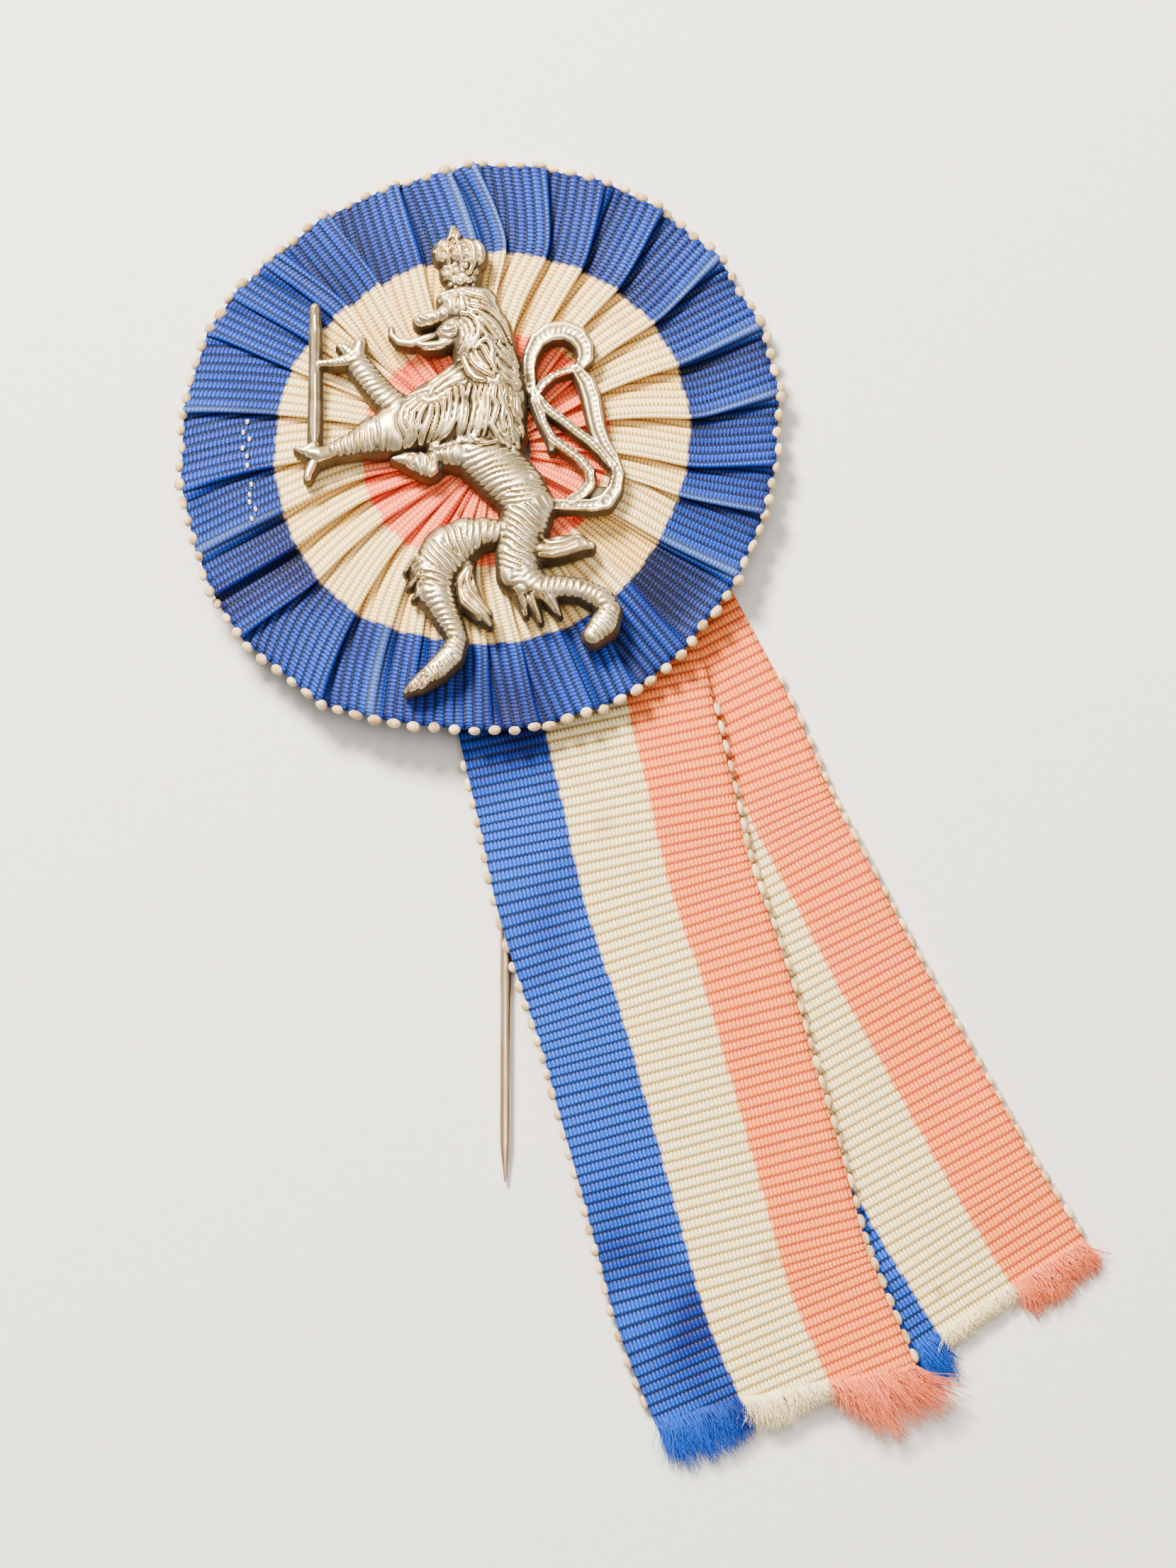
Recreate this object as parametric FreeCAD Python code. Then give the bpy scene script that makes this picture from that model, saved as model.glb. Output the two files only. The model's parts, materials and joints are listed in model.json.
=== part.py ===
import FreeCAD, Part
import math
import os

# Lapel rosette: gathered ribbon with two ribbon tails, a cast lion and a wire pin, lying face up.
# Millimetres. Y points from the tails to the crown, Z up from the surface that it lies on.
# The pieces are laid out from the rosette's centre; place() moves them to the part's own origin,
# the centre of the footprint on the surface.

# Rosette
WALL = 1.0                # ribbon wall
BASE_AT_CENTRE = 1.75     # underside of the rosette above the surface, at its centre
BASE_FALL = 0.055         # fall of that underside per mm towards the crown
RISE_RIM = 0.6            # height of a pleat at the rim
RISE_FULL = 1.1           # height of a pleat from half-way in
HOLE_RADIUS = 3.8         # gathered inner edge
HOLE_X = 1.0              # its centre is a little to the right
RING_SHARES = (0.0, 0.12, 0.33, 0.5, 0.67, 0.84, 1.0)
PLEAT_SHARES = (0.0, 0.12, 0.35, 0.65, 0.88)
VALLEY_SHARES = (1.0, 0.3, 0.0, 0.0, 0.3)

# One row per fold between two pleats.
# Columns: bearing at the rim, at the first stripe and at the second stripe in degrees, depth as a
# share of the full pleat height, rim radius.
FOLDS = (
    (8.3, 6.2, 12.5, 1.0, 30.2), (21.9, 22.0, 25.5, 1.0, 30.9), (37.4, 35.3, 38.5, 1.0, 31.4),
    (51.5, 49.0, 52.0, 1.0, 31.4), (63.8, 60.2, 63.0, 1.0, 31.2), (75.0, 70.0, 76.5, 1.0, 30.8),
    (88.5, 81.0, 86.0, 1.0, 30.8), (93.0, 89.5, 94.0, 0.8, 30.1), (103.5, 105.3, 109.0, 1.0, 29.8),
    (118.3, 118.0, 121.0, 0.9, 29.7), (131.0, 129.0, 134.5, 0.7, 29.5), (137.5, 136.5, 139.5, 0.5, 29.6),
    (146.5, 146.5, 148.0, 0.4, 30.0), (155.5, 156.3, 156.5, 0.4, 30.3), (172.0, 170.0, 168.0, 0.6, 30.1),
    (187.5, 184.8, 182.0, 0.6, 30.0), (200.5, 198.0, 193.0, 0.7, 30.1), (209.5, 208.5, 203.0, 0.8, 30.2),
    (219.0, 220.3, 216.0, 0.7, 30.5), (238.5, 234.0, 229.0, 0.8, 30.3), (248.5, 243.8, 238.0, 0.8, 29.5),
    (256.0, 252.5, 247.0, 0.6, 29.0), (264.0, 262.0, 257.0, 0.6, 28.7), (271.8, 271.5, 267.0, 0.5, 28.8),
    (281.5, 281.0, 278.0, 0.5, 28.9), (292.0, 291.5, 290.0, 0.7, 28.9), (301.0, 303.5, 303.0, 0.9, 28.9),
    (314.0, 315.6, 316.0, 0.9, 28.6), (329.5, 329.8, 331.5, 0.8, 28.5), (343.5, 343.5, 346.5, 0.8, 28.7),
    (354.0, 352.5, 357.0, 0.9, 29.2),
)

# Ribbon tails
RIBBON_WIDTH = 25.0
ACROSS = (-12.5, -11.0, -9.5, -8.0, -6.3, -4.7, -4.1, -2.2, 0.0, 2.2, 4.1, 4.7, 6.3, 8.0, 9.5, 11.0, 12.5)

# Columns: x, y of the ribbon's middle line, height of the left edge's underside, and of the right edge's.
FRONT_LINE = (
    (7.6, -15.0, 1.25, 1.25), (9.8, -24.7, 1.25, 1.25), (12.0, -34.3, 1.3, 1.3), (14.1, -43.8, 1.4, 1.25),
    (17.8, -55.3, 1.5, 1.25), (19.6, -61.8, 1.3, 1.3), (21.4, -68.2, 1.1, 1.35), (23.3, -75.3, 0.8, 1.3),
    (25.2, -82.4, 0.5, 1.3), (27.2, -87.6, 0.3, 1.3), (29.2, -92.4, 0.1, 1.25),
)
BACK_LINE = (
    (12.6, -17.6, 0.0, 0.1), (19.0, -30.1, 0.0, 0.1), (23.0, -39.6, 0.0, 0.2), (26.8, -46.9, 0.0, 0.35),
    (30.5, -54.3, 0.0, 0.3), (36.4, -65.1, 0.0, 0.1), (42.2, -75.8, 0.0, 0.3), (45.0, -80.4, 0.0, 0.2),
    (47.7, -84.8, 0.0, 0.0),
)

# One row per place in ACROSS.
# Columns: where the weave ends past the middle line's end, length of the frayed lock, its sideways lean.
FRONT_FRAY = (
    (-2.0, 3.5, -0.3), (-1.7, 5.4, -0.2), (-1.4, 4.4, 0.0), (-1.1, 5.2, 0.0), (-0.8, 4.2, 0.2), (-0.5, 3.4, 0.2),
    (-0.4, 2.2, 0.0), (0.0, 3.4, 0.0), (0.4, 2.8, 0.0), (0.8, 1.8, 0.0), (1.2, 1.2, 0.0), (1.3, 3.4, 0.2),
    (1.6, 6.2, 0.6), (2.0, 7.0, 0.9), (2.3, 5.6, 1.8), (2.6, 5.8, 2.6), (2.9, 4.6, 3.4),
)
BACK_FRAY = (
    (0.0, 3.0, 0.0), (0.0, 4.2, 0.0), (0.0, 3.6, 0.0), (0.0, 4.6, 0.0), (0.2, 4.0, 0.2), (0.2, 4.6, 0.2),
    (0.2, 1.4, 0.0), (0.2, 1.6, 0.0), (0.2, 1.0, 0.0), (0.1, 1.2, 0.0), (0.0, 1.2, 0.0), (0.0, 3.8, 0.1),
    (0.0, 3.2, 0.2), (0.0, 4.0, 0.3), (0.0, 2.8, 0.4), (0.0, 3.2, 0.5), (0.0, 2.4, 0.6),
)
BACK_CORNER_CUT = 6.0     # slanting cut of the back tail's hidden left corner, beside the pin
BACK_CORNER_REACH = 4.5   # width of that cut

# Pin
PIN_X = 2.5
SHANK_RADIUS = 0.58
STEM_RADIUS = 0.53
PIN_BEND = 1.6            # radius of the bend's middle line
SHANK_END = -53.0
STEM_END = -68.0
POINT_END = -72.1
POINT_RADIUS = 0.12
SHOULDER = 0.8            # short cone from shank to stem
SOCKET_RADIUS = 1.35
SOCKET_BORE = 0.7
SOCKET_DEPTH = 1.3

# Lion
SEAT = 0.1                # clearance between the pleats and the lion's back, and above the pin's post
EDGE = 0.9                # thickness at the outline
CELL = 0.85               # spacing of the relief's grid

# One entry per limb or lock. Columns of its rows: x, y of the middle line, half width, height of the crest.
LION = {
    "crown orb": [(-3.4, 20.1, 1.74, 2.3), (-1.3, 19.9, 1.89, 2.4)],
    "crown foot": [(-2.9, 18.0, 1.45, 2.1), (-1.7, 17.8, 1.60, 2.1), (-2.0, 16.6, 1.74, 2.1)],
    "crown knob": [(-2.9, 22.7, 0.51, 1.6), (-2.8, 21.8, 0.87, 2.0)],
    "brow": [(-3.5, 15.0, 1.16, 2.4), (-1.8, 15.1, 1.45, 2.8), (-0.2, 14.7, 1.88, 3.0)],
    "skull": [(-2.5, 14.1, 1.88, 2.9), (-0.6, 13.8, 2.46, 3.2), (0.0, 11.6, 3.03, 3.4)],
    "mane": [(0.0, 11.6, 3.03, 3.4), (0.4, 8.6, 3.31, 3.5), (0.7, 6.0, 3.73, 3.5), (1.1, 3.3, 3.44, 3.3),
             (2.1, 1.1, 2.43, 3.0), (3.0, -0.5, 1.29, 2.4)],
    "chest": [(-2.1, 6.0, 2.44, 3.3), (-4.1, 4.0, 3.01, 3.3), (-6.2, 2.5, 3.01, 3.1), (-8.3, 1.6, 2.72, 2.9)],
    "chest foot": [(-5.5, 1.8, 2.43, 3.0), (-1.7, 2.5, 2.86, 3.2), (1.4, 2.0, 2.72, 3.0)],
    "muzzle": [(-3.5, 13.5, 1.08, 2.6), (-5.1, 12.9, 0.87, 2.5), (-6.0, 12.8, 0.94, 2.5)],
    "cheek": [(-2.5, 11.9, 1.73, 2.8), (-3.4, 11.6, 1.30, 2.5)],
    "tongue": [(-3.9, 11.6, 0.50, 1.9), (-5.6, 11.0, 0.58, 1.9), (-7.0, 10.5, 0.65, 1.8), (-8.2, 10.7, 0.58, 1.7),
               (-8.9, 11.4, 0.43, 1.5), (-9.0, 12.2, 0.32, 1.3)],
    "jaw": [(-2.9, 11.0, 1.01, 2.3), (-4.3, 10.2, 0.76, 2.2), (-5.5, 10.1, 0.65, 2.1), (-6.2, 10.3, 0.43, 1.9)],
    "fore leg": [(-8.3, 1.5, 2.65, 2.8), (-10.4, 0.9, 2.22, 2.5), (-12.1, 0.2, 1.57, 2.3), (-13.7, -0.4, 1.21, 2.1),
                 (-15.1, -0.8, 0.93, 2.0)],
    "fist": [(-15.1, -1.0, 0.93, 2.3), (-15.9, -1.2, 1.00, 2.5), (-16.8, -1.0, 0.79, 2.3)],
    "guard": [(-18.1, -0.5, 0.43, 1.8), (-17.5, -0.8, 0.57, 2.1), (-16.4, -0.2, 0.57, 2.1)],
    "pommel": [(-16.5, -2.1, 0.71, 2.0), (-16.9, -3.0, 0.57, 2.0), (-17.0, -3.5, 0.50, 2.0)],
    "blade": [(-16.6, 14.5, 0.51, 1.2), (-16.5, 11.6, 0.65, 1.4), (-16.4, 4.9, 0.75, 1.5), (-16.4, -0.2, 0.79, 1.6)],
    "raised leg": [(-8.2, 3.7, 1.72, 2.4), (-9.4, 4.8, 1.51, 2.3), (-10.8, 6.4, 1.44, 2.2), (-11.9, 7.9, 1.37, 2.1),
                   (-12.6, 9.0, 1.30, 2.2)],
    "raised toe 1": [(-12.6, 9.1, 1.08, 2.2), (-13.6, 10.0, 0.72, 2.1), (-14.0, 10.2, 0.50, 1.8)],
    "raised toe 2": [(-12.2, 9.5, 0.86, 2.2), (-12.0, 10.5, 0.72, 2.1), (-11.9, 10.9, 0.50, 1.8)],
    "raised toe 3": [(-13.1, 8.7, 0.86, 2.1), (-14.6, 8.5, 0.65, 1.9), (-15.6, 8.5, 0.50, 1.6),
                     (-16.3, 8.5, 0.43, 1.4)],
    "elbow": [(-8.6, -1.5, 0.43, 1.6), (-7.3, -1.6, 1.00, 2.1), (-6.0, -2.0, 1.36, 2.3), (-5.1, -2.3, 1.50, 2.3)],
    "belly": [(-4.1, -1.0, 1.43, 2.6), (-2.4, -1.0, 1.86, 2.9)],
    "trunk": [(-0.5, -0.5, 2.86, 3.0), (1.5, -2.4, 2.99, 3.0), (3.6, -4.6, 2.85, 2.9), (4.7, -6.4, 2.63, 2.9),
              (4.1, -8.9, 2.55, 2.8), (3.7, -11.2, 2.34, 2.7), (3.7, -13.2, 2.26, 2.7), (4.4, -14.5, 1.69, 2.6)],
    "tail root": [(5.6, -6.2, 1.28, 2.2), (7.4, -6.3, 0.78, 1.8), (9.2, -6.3, 0.71, 1.7), (10.8, -6.3, 0.85, 1.7),
                  (12.2, -5.9, 1.00, 1.7)],
    "tail outer": [(12.2, -5.9, 1.00, 1.7), (13.1, -4.6, 0.85, 1.7), (13.4, -3.0, 0.71, 1.7), (12.9, -1.4, 0.71, 1.7),
                   (12.0, 0.1, 0.79, 1.7), (11.4, 1.6, 0.93, 1.8), (11.1, 3.1, 1.00, 1.8), (10.8, 4.9, 1.08, 1.8),
                   (10.3, 6.4, 1.01, 1.8), (9.4, 7.7, 0.72, 1.7)],
    "tail bar 1": [(4.8, 5.8, 0.72, 1.8), (5.5, 4.8, 0.65, 1.8), (6.4, 3.7, 0.65, 1.8), (8.1, 2.4, 0.61, 1.7),
                   (9.4, 1.3, 0.61, 1.7), (10.7, 0.3, 0.61, 1.7), (11.9, -1.0, 0.61, 1.7), (12.8, -2.1, 0.61, 1.7)],
    "tail bar 2": [(5.3, 4.5, 0.72, 1.8), (6.0, 2.3, 0.61, 1.7), (6.8, 0.7, 0.64, 1.7), (8.2, -0.4, 0.61, 1.7),
                   (9.6, -1.5, 0.64, 1.7), (10.6, -2.8, 0.64, 1.7), (10.7, -4.0, 0.64, 1.7), (9.9, -5.1, 0.71, 1.7),
                   (8.8, -5.8, 0.71, 1.7)],
    "tail lobe": [(6.9, 0.3, 0.57, 1.6), (6.9, -0.4, 0.50, 1.3)],
    "tail web": [(11.2, -4.9, 0.78, 1.1), (12.0, -4.9, 0.71, 1.1)],
    "tail loop": [(4.8, 6.0, 0.72, 1.8), (4.6, 7.9, 0.79, 1.8), (4.8, 9.3, 0.86, 1.8), (5.5, 10.8, 1.01, 1.9),
                  (6.7, 11.7, 1.15, 1.9), (8.2, 11.9, 1.23, 1.9), (9.4, 11.3, 1.23, 1.9), (10.1, 10.2, 1.08, 1.9),
                  (10.2, 9.1, 0.94, 1.8), (9.7, 8.2, 0.65, 1.7)],
    "tail inner": [(9.4, 7.9, 0.58, 1.7), (8.2, 7.6, 0.50, 1.7), (7.1, 7.2, 0.50, 1.7), (6.0, 6.3, 0.57, 1.8),
                   (5.4, 5.3, 0.57, 1.8)],
    "left thigh": [(2.0, -9.1, 1.42, 2.3), (0.2, -9.1, 1.70, 2.4), (-1.5, -9.6, 2.20, 2.6), (-3.2, -10.9, 2.69, 2.8),
                   (-4.4, -13.0, 2.54, 2.8), (-4.4, -15.0, 2.05, 2.6)],
    "left shin": [(-4.4, -15.0, 2.05, 2.6), (-3.6, -17.0, 1.55, 2.4), (-2.7, -18.7, 1.27, 2.2),
                  (-2.2, -20.0, 1.12, 2.1)],
    "left foot": [(-2.2, -20.0, 1.12, 2.1), (-2.8, -21.6, 1.33, 2.1), (-4.2, -23.1, 1.26, 2.1), (-5.8, -24.3, 0.98, 2.0),
                  (-7.1, -25.2, 0.42, 1.7)],
    "left tuft 1": [(-6.0, -12.0, 0.85, 2.2), (-7.3, -13.1, 0.35, 1.5)],
    "left tuft 2": [(-5.8, -13.7, 0.85, 2.2), (-7.0, -14.7, 0.35, 1.5)],
    "left tuft 3": [(-5.4, -15.0, 0.85, 2.1), (-6.5, -15.9, 0.35, 1.5)],
    "leaf": [(-1.3, -12.6, 0.85, 2.1), (-1.5, -14.2, 1.13, 2.3), (-1.0, -16.1, 1.27, 2.3), (0.2, -17.5, 1.06, 2.1),
             (0.9, -18.4, 0.49, 1.7)],
    "right knee": [(4.1, -13.5, 1.91, 2.7), (5.8, -14.9, 1.55, 2.6), (7.7, -14.7, 1.34, 2.4), (9.8, -14.9, 1.27, 2.3),
                   (11.8, -15.9, 1.34, 2.3), (12.6, -17.1, 1.27, 2.2)],
    "right foot": [(12.6, -17.2, 1.27, 2.2), (12.0, -18.5, 1.55, 2.3), (11.0, -19.6, 1.19, 2.1)],
    "right tuft 1": [(3.9, -15.4, 0.85, 2.2), (4.4, -17.5, 0.35, 1.5)],
    "right tuft 2": [(4.9, -15.9, 0.85, 2.2), (5.9, -18.1, 0.35, 1.5)],
    "right tuft 3": [(6.7, -15.9, 0.92, 2.2), (7.7, -17.5, 0.35, 1.5)],
    "rear curl": [(5.8, -11.1, 1.27, 2.3), (7.7, -10.7, 1.42, 2.5), (9.5, -10.3, 1.20, 2.4), (10.6, -10.5, 0.71, 2.0)],
}


def between(a, b, share):
    return a + (b - a) * share


def faceted(points, triangles):
    """A solid from points and triangles that close up."""
    shape = Part.Shape()
    shape.makeShapeFromMesh((points, triangles), 0.0001)
    return Part.makeSolid(shape)


def quad(a, b, c, d):
    return [(a, b, c), (a, c, d)]


def walled(rows, around):
    """A ribbon wall below a grid of points; around says whether each row closes on itself."""
    high, wide = len(rows), len(rows[0])
    top = [point for row in rows for point in row]
    points = top + [point - FreeCAD.Vector(0, 0, WALL) for point in top]
    under = high * wide
    steps = wide if around else wide - 1
    triangles = []
    for i in range(high - 1):
        for j in range(steps):
            k = (j + 1) % wide
            a, b, c, d = i * wide + j, i * wide + k, (i + 1) * wide + k, (i + 1) * wide + j
            triangles += quad(a, b, c, d) + quad(under + d, under + c, under + b, under + a)
    for j in range(steps):
        k = (j + 1) % wide
        last = (high - 1) * wide
        triangles += quad(j, under + j, under + k, k)
        triangles += quad(last + k, under + last + k, under + last + j, last + j)
    if not around:
        for i in range(high - 1):
            a, b = i * wide, (i + 1) * wide
            c, d = a + wide - 1, b + wide - 1
            triangles += quad(b, under + b, under + a, a) + quad(c, under + c, under + d, d)
    return faceted(points, triangles)


def base_height(y):
    return BASE_AT_CENTRE - BASE_FALL * y


def fold_bearing(fold, share):
    """Bearing of a fold at a share of the way in from the rim."""
    at_rim, at_first, at_second = fold[:3]
    if share < 1 / 3:
        return between(at_rim, at_first, share * 3)
    if share < 2 / 3:
        return between(at_first, at_second, share * 3 - 1)
    return at_second


def ruffle_point(fold, following, share, pleat_share, valley_share):
    """Point on the pleats' upper face."""
    bearing = math.radians(between(fold_bearing(fold, share), fold_bearing(following, share), pleat_share))
    rim = between(fold[4], following[4], pleat_share)
    radius = between(rim, HOLE_RADIUS, share)
    x = radius * math.cos(bearing) + HOLE_X * share ** 2
    y = radius * math.sin(bearing)
    depth = following[3] if pleat_share > 0.5 else fold[3]
    rise = between(RISE_RIM, RISE_FULL, min(1.0, share * 2))
    return FreeCAD.Vector(x, y, base_height(y) + WALL + rise * (1 - depth * valley_share))


def make_ruffle():
    first = FOLDS[0]
    closing = (first[0] + 360, first[1] + 360, first[2] + 360, first[3], first[4])
    following = FOLDS[1:] + (closing,)
    rows = []
    for share in RING_SHARES:
        row = []
        for fold, after in zip(FOLDS, following):
            for pleat_share, valley_share in zip(PLEAT_SHARES, VALLEY_SHARES):
                row.append(ruffle_point(fold, after, share, pleat_share, valley_share))
        rows.append(row)
    return walled(rows, True)


def heading(line, i):
    """Unit direction of the middle line at a station."""
    a, b = line[max(i - 1, 0)], line[min(i + 1, len(line) - 1)]
    return FreeCAD.Vector(b[0] - a[0], b[1] - a[1], 0).normalize()


def tail_point(station, along, across, past, side):
    """Point on the ribbon's upper face: past the station along the line, across it, and leaning sideways."""
    right = FreeCAD.Vector(-along.y, along.x, 0)
    share = (across + RIBBON_WIDTH / 2) / RIBBON_WIDTH
    height = between(station[2], station[3], share) + WALL
    flat = FreeCAD.Vector(station[0], station[1], 0) + along * past + right * (across + side)
    return FreeCAD.Vector(flat.x, flat.y, height)


def make_tail(line, fray, corner_cut):
    rows = []
    for i, station in enumerate(line[:-1]):
        along = heading(line, i)
        row = []
        for across in ACROSS:
            reach = max(0.0, -RIBBON_WIDTH / 2 + BACK_CORNER_REACH - across) / BACK_CORNER_REACH
            past = corner_cut * reach if i == 0 else 0.0
            row.append(tail_point(station, along, across, past, 0.0))
        rows.append(row)
    along = heading(line, len(line) - 1)
    for share in (0.0, 0.5, 1.0):
        row = []
        for across, (woven, lock, lean) in zip(ACROSS, fray):
            row.append(tail_point(line[-1], along, across, woven + lock * share, lean * share))
        rows.append(row)
    return walled(rows, False)


def near_stroke(x, y, a, b):
    """Distance from a tapering stroke's middle line, and its half width and crest there."""
    dx, dy = b[0] - a[0], b[1] - a[1]
    share = max(0.0, min(1.0, ((x - a[0]) * dx + (y - a[1]) * dy) / (dx * dx + dy * dy)))
    away = math.hypot(x - a[0] - share * dx, y - a[1] - share * dy)
    return away, between(a[2], b[2], share), between(a[3], b[3], share)


def relief(x, y):
    """How far the place is outside the lion's outline, and the relief's height there."""
    outside, height = 99.0, EDGE
    for stroke in LION.values():
        for a, b in zip(stroke, stroke[1:]):
            away, half, crest = near_stroke(x, y, a, b)
            outside = min(outside, away - half)
            if away < half:
                height = max(height, EDGE + (crest - EDGE) * math.sqrt(1 - (away / half) ** 2))
    return outside, height


def lion_grid():
    """The grid's corners with their distance outside the outline and their height."""
    rows = [row for stroke in LION.values() for row in stroke]
    low_x = min(x - half for x, y, half, crest in rows) - CELL
    low_y = min(y - half for x, y, half, crest in rows) - CELL
    wide = int((max(x + half for x, y, half, crest in rows) + CELL - low_x) / CELL) + 1
    high = int((max(y + half for x, y, half, crest in rows) + CELL - low_y) / CELL) + 1
    grid = {}
    for i in range(wide + 1):
        for j in range(high + 1):
            x, y = low_x + i * CELL, low_y + j * CELL
            grid[i, j] = (x, y) + relief(x, y)
    return grid


def crossing(a, b):
    """Where the outline crosses a grid edge, kept clear of its ends."""
    share = max(0.1, min(0.9, a[2] / (a[2] - b[2])))
    x, y = between(a[0], b[0], share), between(a[1], b[1], share)
    return x, y, EDGE


def cell_outline(grid, corners):
    """Keys and places of the part of a cell that is inside the outline, in order."""
    found = []
    for here, after in zip(corners, corners[1:] + corners[:1]):
        a, b = grid[here], grid[after]
        if a[2] < 0:
            found.append((here, (a[0], a[1], a[3])))
        if (a[2] < 0) != (b[2] < 0):
            key = tuple(sorted((here, after)))
            first, second = grid[key[0]], grid[key[1]]
            found.append((key, crossing(first, second)))
    return found


def make_lion_body():
    """The relief as a closed solid with a flat back at height 0."""
    grid = lion_grid()
    index, points, triangles = {}, [], []

    def number(key, place, top):
        if (key, top) not in index:
            index[key, top] = len(points)
            points.append(FreeCAD.Vector(place[0], place[1], place[2] if top else 0.0))
        return index[key, top]

    for i, j in grid:
        corners = [(i, j), (i + 1, j), (i + 1, j + 1), (i, j + 1)]
        if any(corner not in grid for corner in corners):
            continue
        found = cell_outline(grid, corners)
        upper = [number(key, place, True) for key, place in found]
        lower = [number(key, place, False) for key, place in found]
        for k in range(1, len(found) - 1):
            triangles += [(upper[0], upper[k], upper[k + 1]), (lower[0], lower[k + 1], lower[k])]
        for k in range(len(found)):
            m = (k + 1) % len(found)
            if isinstance(found[k][0][0], tuple) and isinstance(found[m][0][0], tuple):
                triangles += quad(upper[k], lower[k], lower[m], upper[m])
    return faceted(points, triangles)


def seat_height():
    """Height of the lion's back at the rosette's centre."""
    return base_height(0) + WALL + RISE_FULL + SEAT


def make_lion():
    socket = Part.makeCylinder(SOCKET_RADIUS, SOCKET_DEPTH + EDGE / 2, FreeCAD.Vector(PIN_X, 0, -SOCKET_DEPTH))
    bore = Part.makeCylinder(SOCKET_BORE, SOCKET_DEPTH, FreeCAD.Vector(PIN_X, 0, -SOCKET_DEPTH))
    lion = make_lion_body().removeSplitter().fuse(socket).cut(bore).Solids[0]
    lion.rotate(FreeCAD.Vector(0, 0, 0), FreeCAD.Vector(1, 0, 0), -math.degrees(math.atan(BASE_FALL)))
    lion.translate(FreeCAD.Vector(0, 0, seat_height()))
    return lion


def make_pin():
    floor = SHANK_RADIUS
    post_top = FreeCAD.Vector(PIN_X, 0, seat_height() - SEAT)
    bend_top = FreeCAD.Vector(PIN_X, 0, floor + PIN_BEND)
    bend_end = FreeCAD.Vector(PIN_X, -PIN_BEND, floor)
    half = PIN_BEND * math.sqrt(0.5)
    bend_middle = FreeCAD.Vector(PIN_X, half - PIN_BEND, floor + PIN_BEND - half)
    shank_end = FreeCAD.Vector(PIN_X, SHANK_END, floor)
    bend = Part.Arc(bend_top, bend_middle, bend_end).toShape()
    path = Part.Wire([Part.makeLine(post_top, bend_top), bend, Part.makeLine(bend_end, shank_end)])
    circle = Part.Wire([Part.makeCircle(SHANK_RADIUS, post_top, FreeCAD.Vector(0, 0, 1))])
    wire = path.makePipeShell([circle], True, True)
    back = FreeCAD.Vector(0, -1, 0)
    shoulder = Part.makeCone(SHANK_RADIUS, STEM_RADIUS, SHOULDER, shank_end, back)
    stem_start = FreeCAD.Vector(PIN_X, SHANK_END - SHOULDER, floor)
    stem = Part.makeCylinder(STEM_RADIUS, SHANK_END - SHOULDER - STEM_END, stem_start, back)
    point_start = FreeCAD.Vector(PIN_X, STEM_END, floor)
    point = Part.makeCone(STEM_RADIUS, POINT_RADIUS, STEM_END - POINT_END, point_start, back)
    return wire.fuse([shoulder, stem, point]).Solids[0]


def place(pieces):
    """Moves the pieces so that the origin is the centre of the footprint, on the surface."""
    box = Part.makeCompound(list(pieces.values())).optimalBoundingBox(False, False)
    shift = FreeCAD.Vector(-box.Center.x, -box.Center.y, -box.ZMin)
    for shape in pieces.values():
        shape.translate(shift)
    return shift


pieces = {
    "rosette_ruffle": make_ruffle(),
    "tail_front": make_tail(FRONT_LINE, FRONT_FRAY, 0.0),
    "tail_back": make_tail(BACK_LINE, BACK_FRAY, BACK_CORNER_CUT),
    "lion_emblem": make_lion(),
    "lapel_pin": make_pin(),
}
rosette_centre = place(pieces)
print("rosette centre", rosette_centre)
os.makedirs("parts", exist_ok=True)
for name, shape in pieces.items():
    box = shape.optimalBoundingBox(False, False)
    print(name, shape.ShapeType, len(shape.Solids), "valid", shape.isValid(), "faces", len(shape.Faces),
          "volume", round(shape.Volume, 1), "box", [round(v, 2) for v in (box.XMin, box.XMax, box.YMin, box.YMax,
                                                                          box.ZMin, box.ZMax)])
    shape.exportStep("parts/" + name + ".step")
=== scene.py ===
import json
import math

import bpy
import numpy as np
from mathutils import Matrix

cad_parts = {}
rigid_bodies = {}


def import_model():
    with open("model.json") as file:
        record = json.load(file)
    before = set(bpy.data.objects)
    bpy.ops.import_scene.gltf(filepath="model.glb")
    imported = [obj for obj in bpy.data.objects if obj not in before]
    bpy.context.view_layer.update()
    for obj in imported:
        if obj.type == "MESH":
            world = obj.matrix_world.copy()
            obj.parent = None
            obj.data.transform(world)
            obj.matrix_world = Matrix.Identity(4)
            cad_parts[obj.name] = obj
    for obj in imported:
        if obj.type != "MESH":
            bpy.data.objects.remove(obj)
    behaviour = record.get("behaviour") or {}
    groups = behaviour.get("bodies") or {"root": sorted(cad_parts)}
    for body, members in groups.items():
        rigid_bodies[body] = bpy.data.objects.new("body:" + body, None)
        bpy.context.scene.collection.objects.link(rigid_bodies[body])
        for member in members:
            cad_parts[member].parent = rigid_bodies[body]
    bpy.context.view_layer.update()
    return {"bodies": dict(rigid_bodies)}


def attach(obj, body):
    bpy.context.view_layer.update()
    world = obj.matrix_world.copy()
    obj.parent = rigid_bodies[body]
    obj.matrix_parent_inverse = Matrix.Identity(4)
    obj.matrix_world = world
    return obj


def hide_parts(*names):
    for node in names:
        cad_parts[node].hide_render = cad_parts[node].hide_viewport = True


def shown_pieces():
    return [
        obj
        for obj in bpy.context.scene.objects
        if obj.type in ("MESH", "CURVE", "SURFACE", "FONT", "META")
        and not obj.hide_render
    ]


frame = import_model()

# Lapel rosette: gathered three-stripe ribbon, two ribbon tails with frayed ends, a cast lion and a wire pin.
# Tables and lengths are in millimetres from the rosette's centre, as in the CAD source.


ROOT = list(frame["bodies"])[0]
CENTRE = np.array([-15.043012, 34.666816, 0.0])   # the rosette's centre in the part's frame

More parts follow.
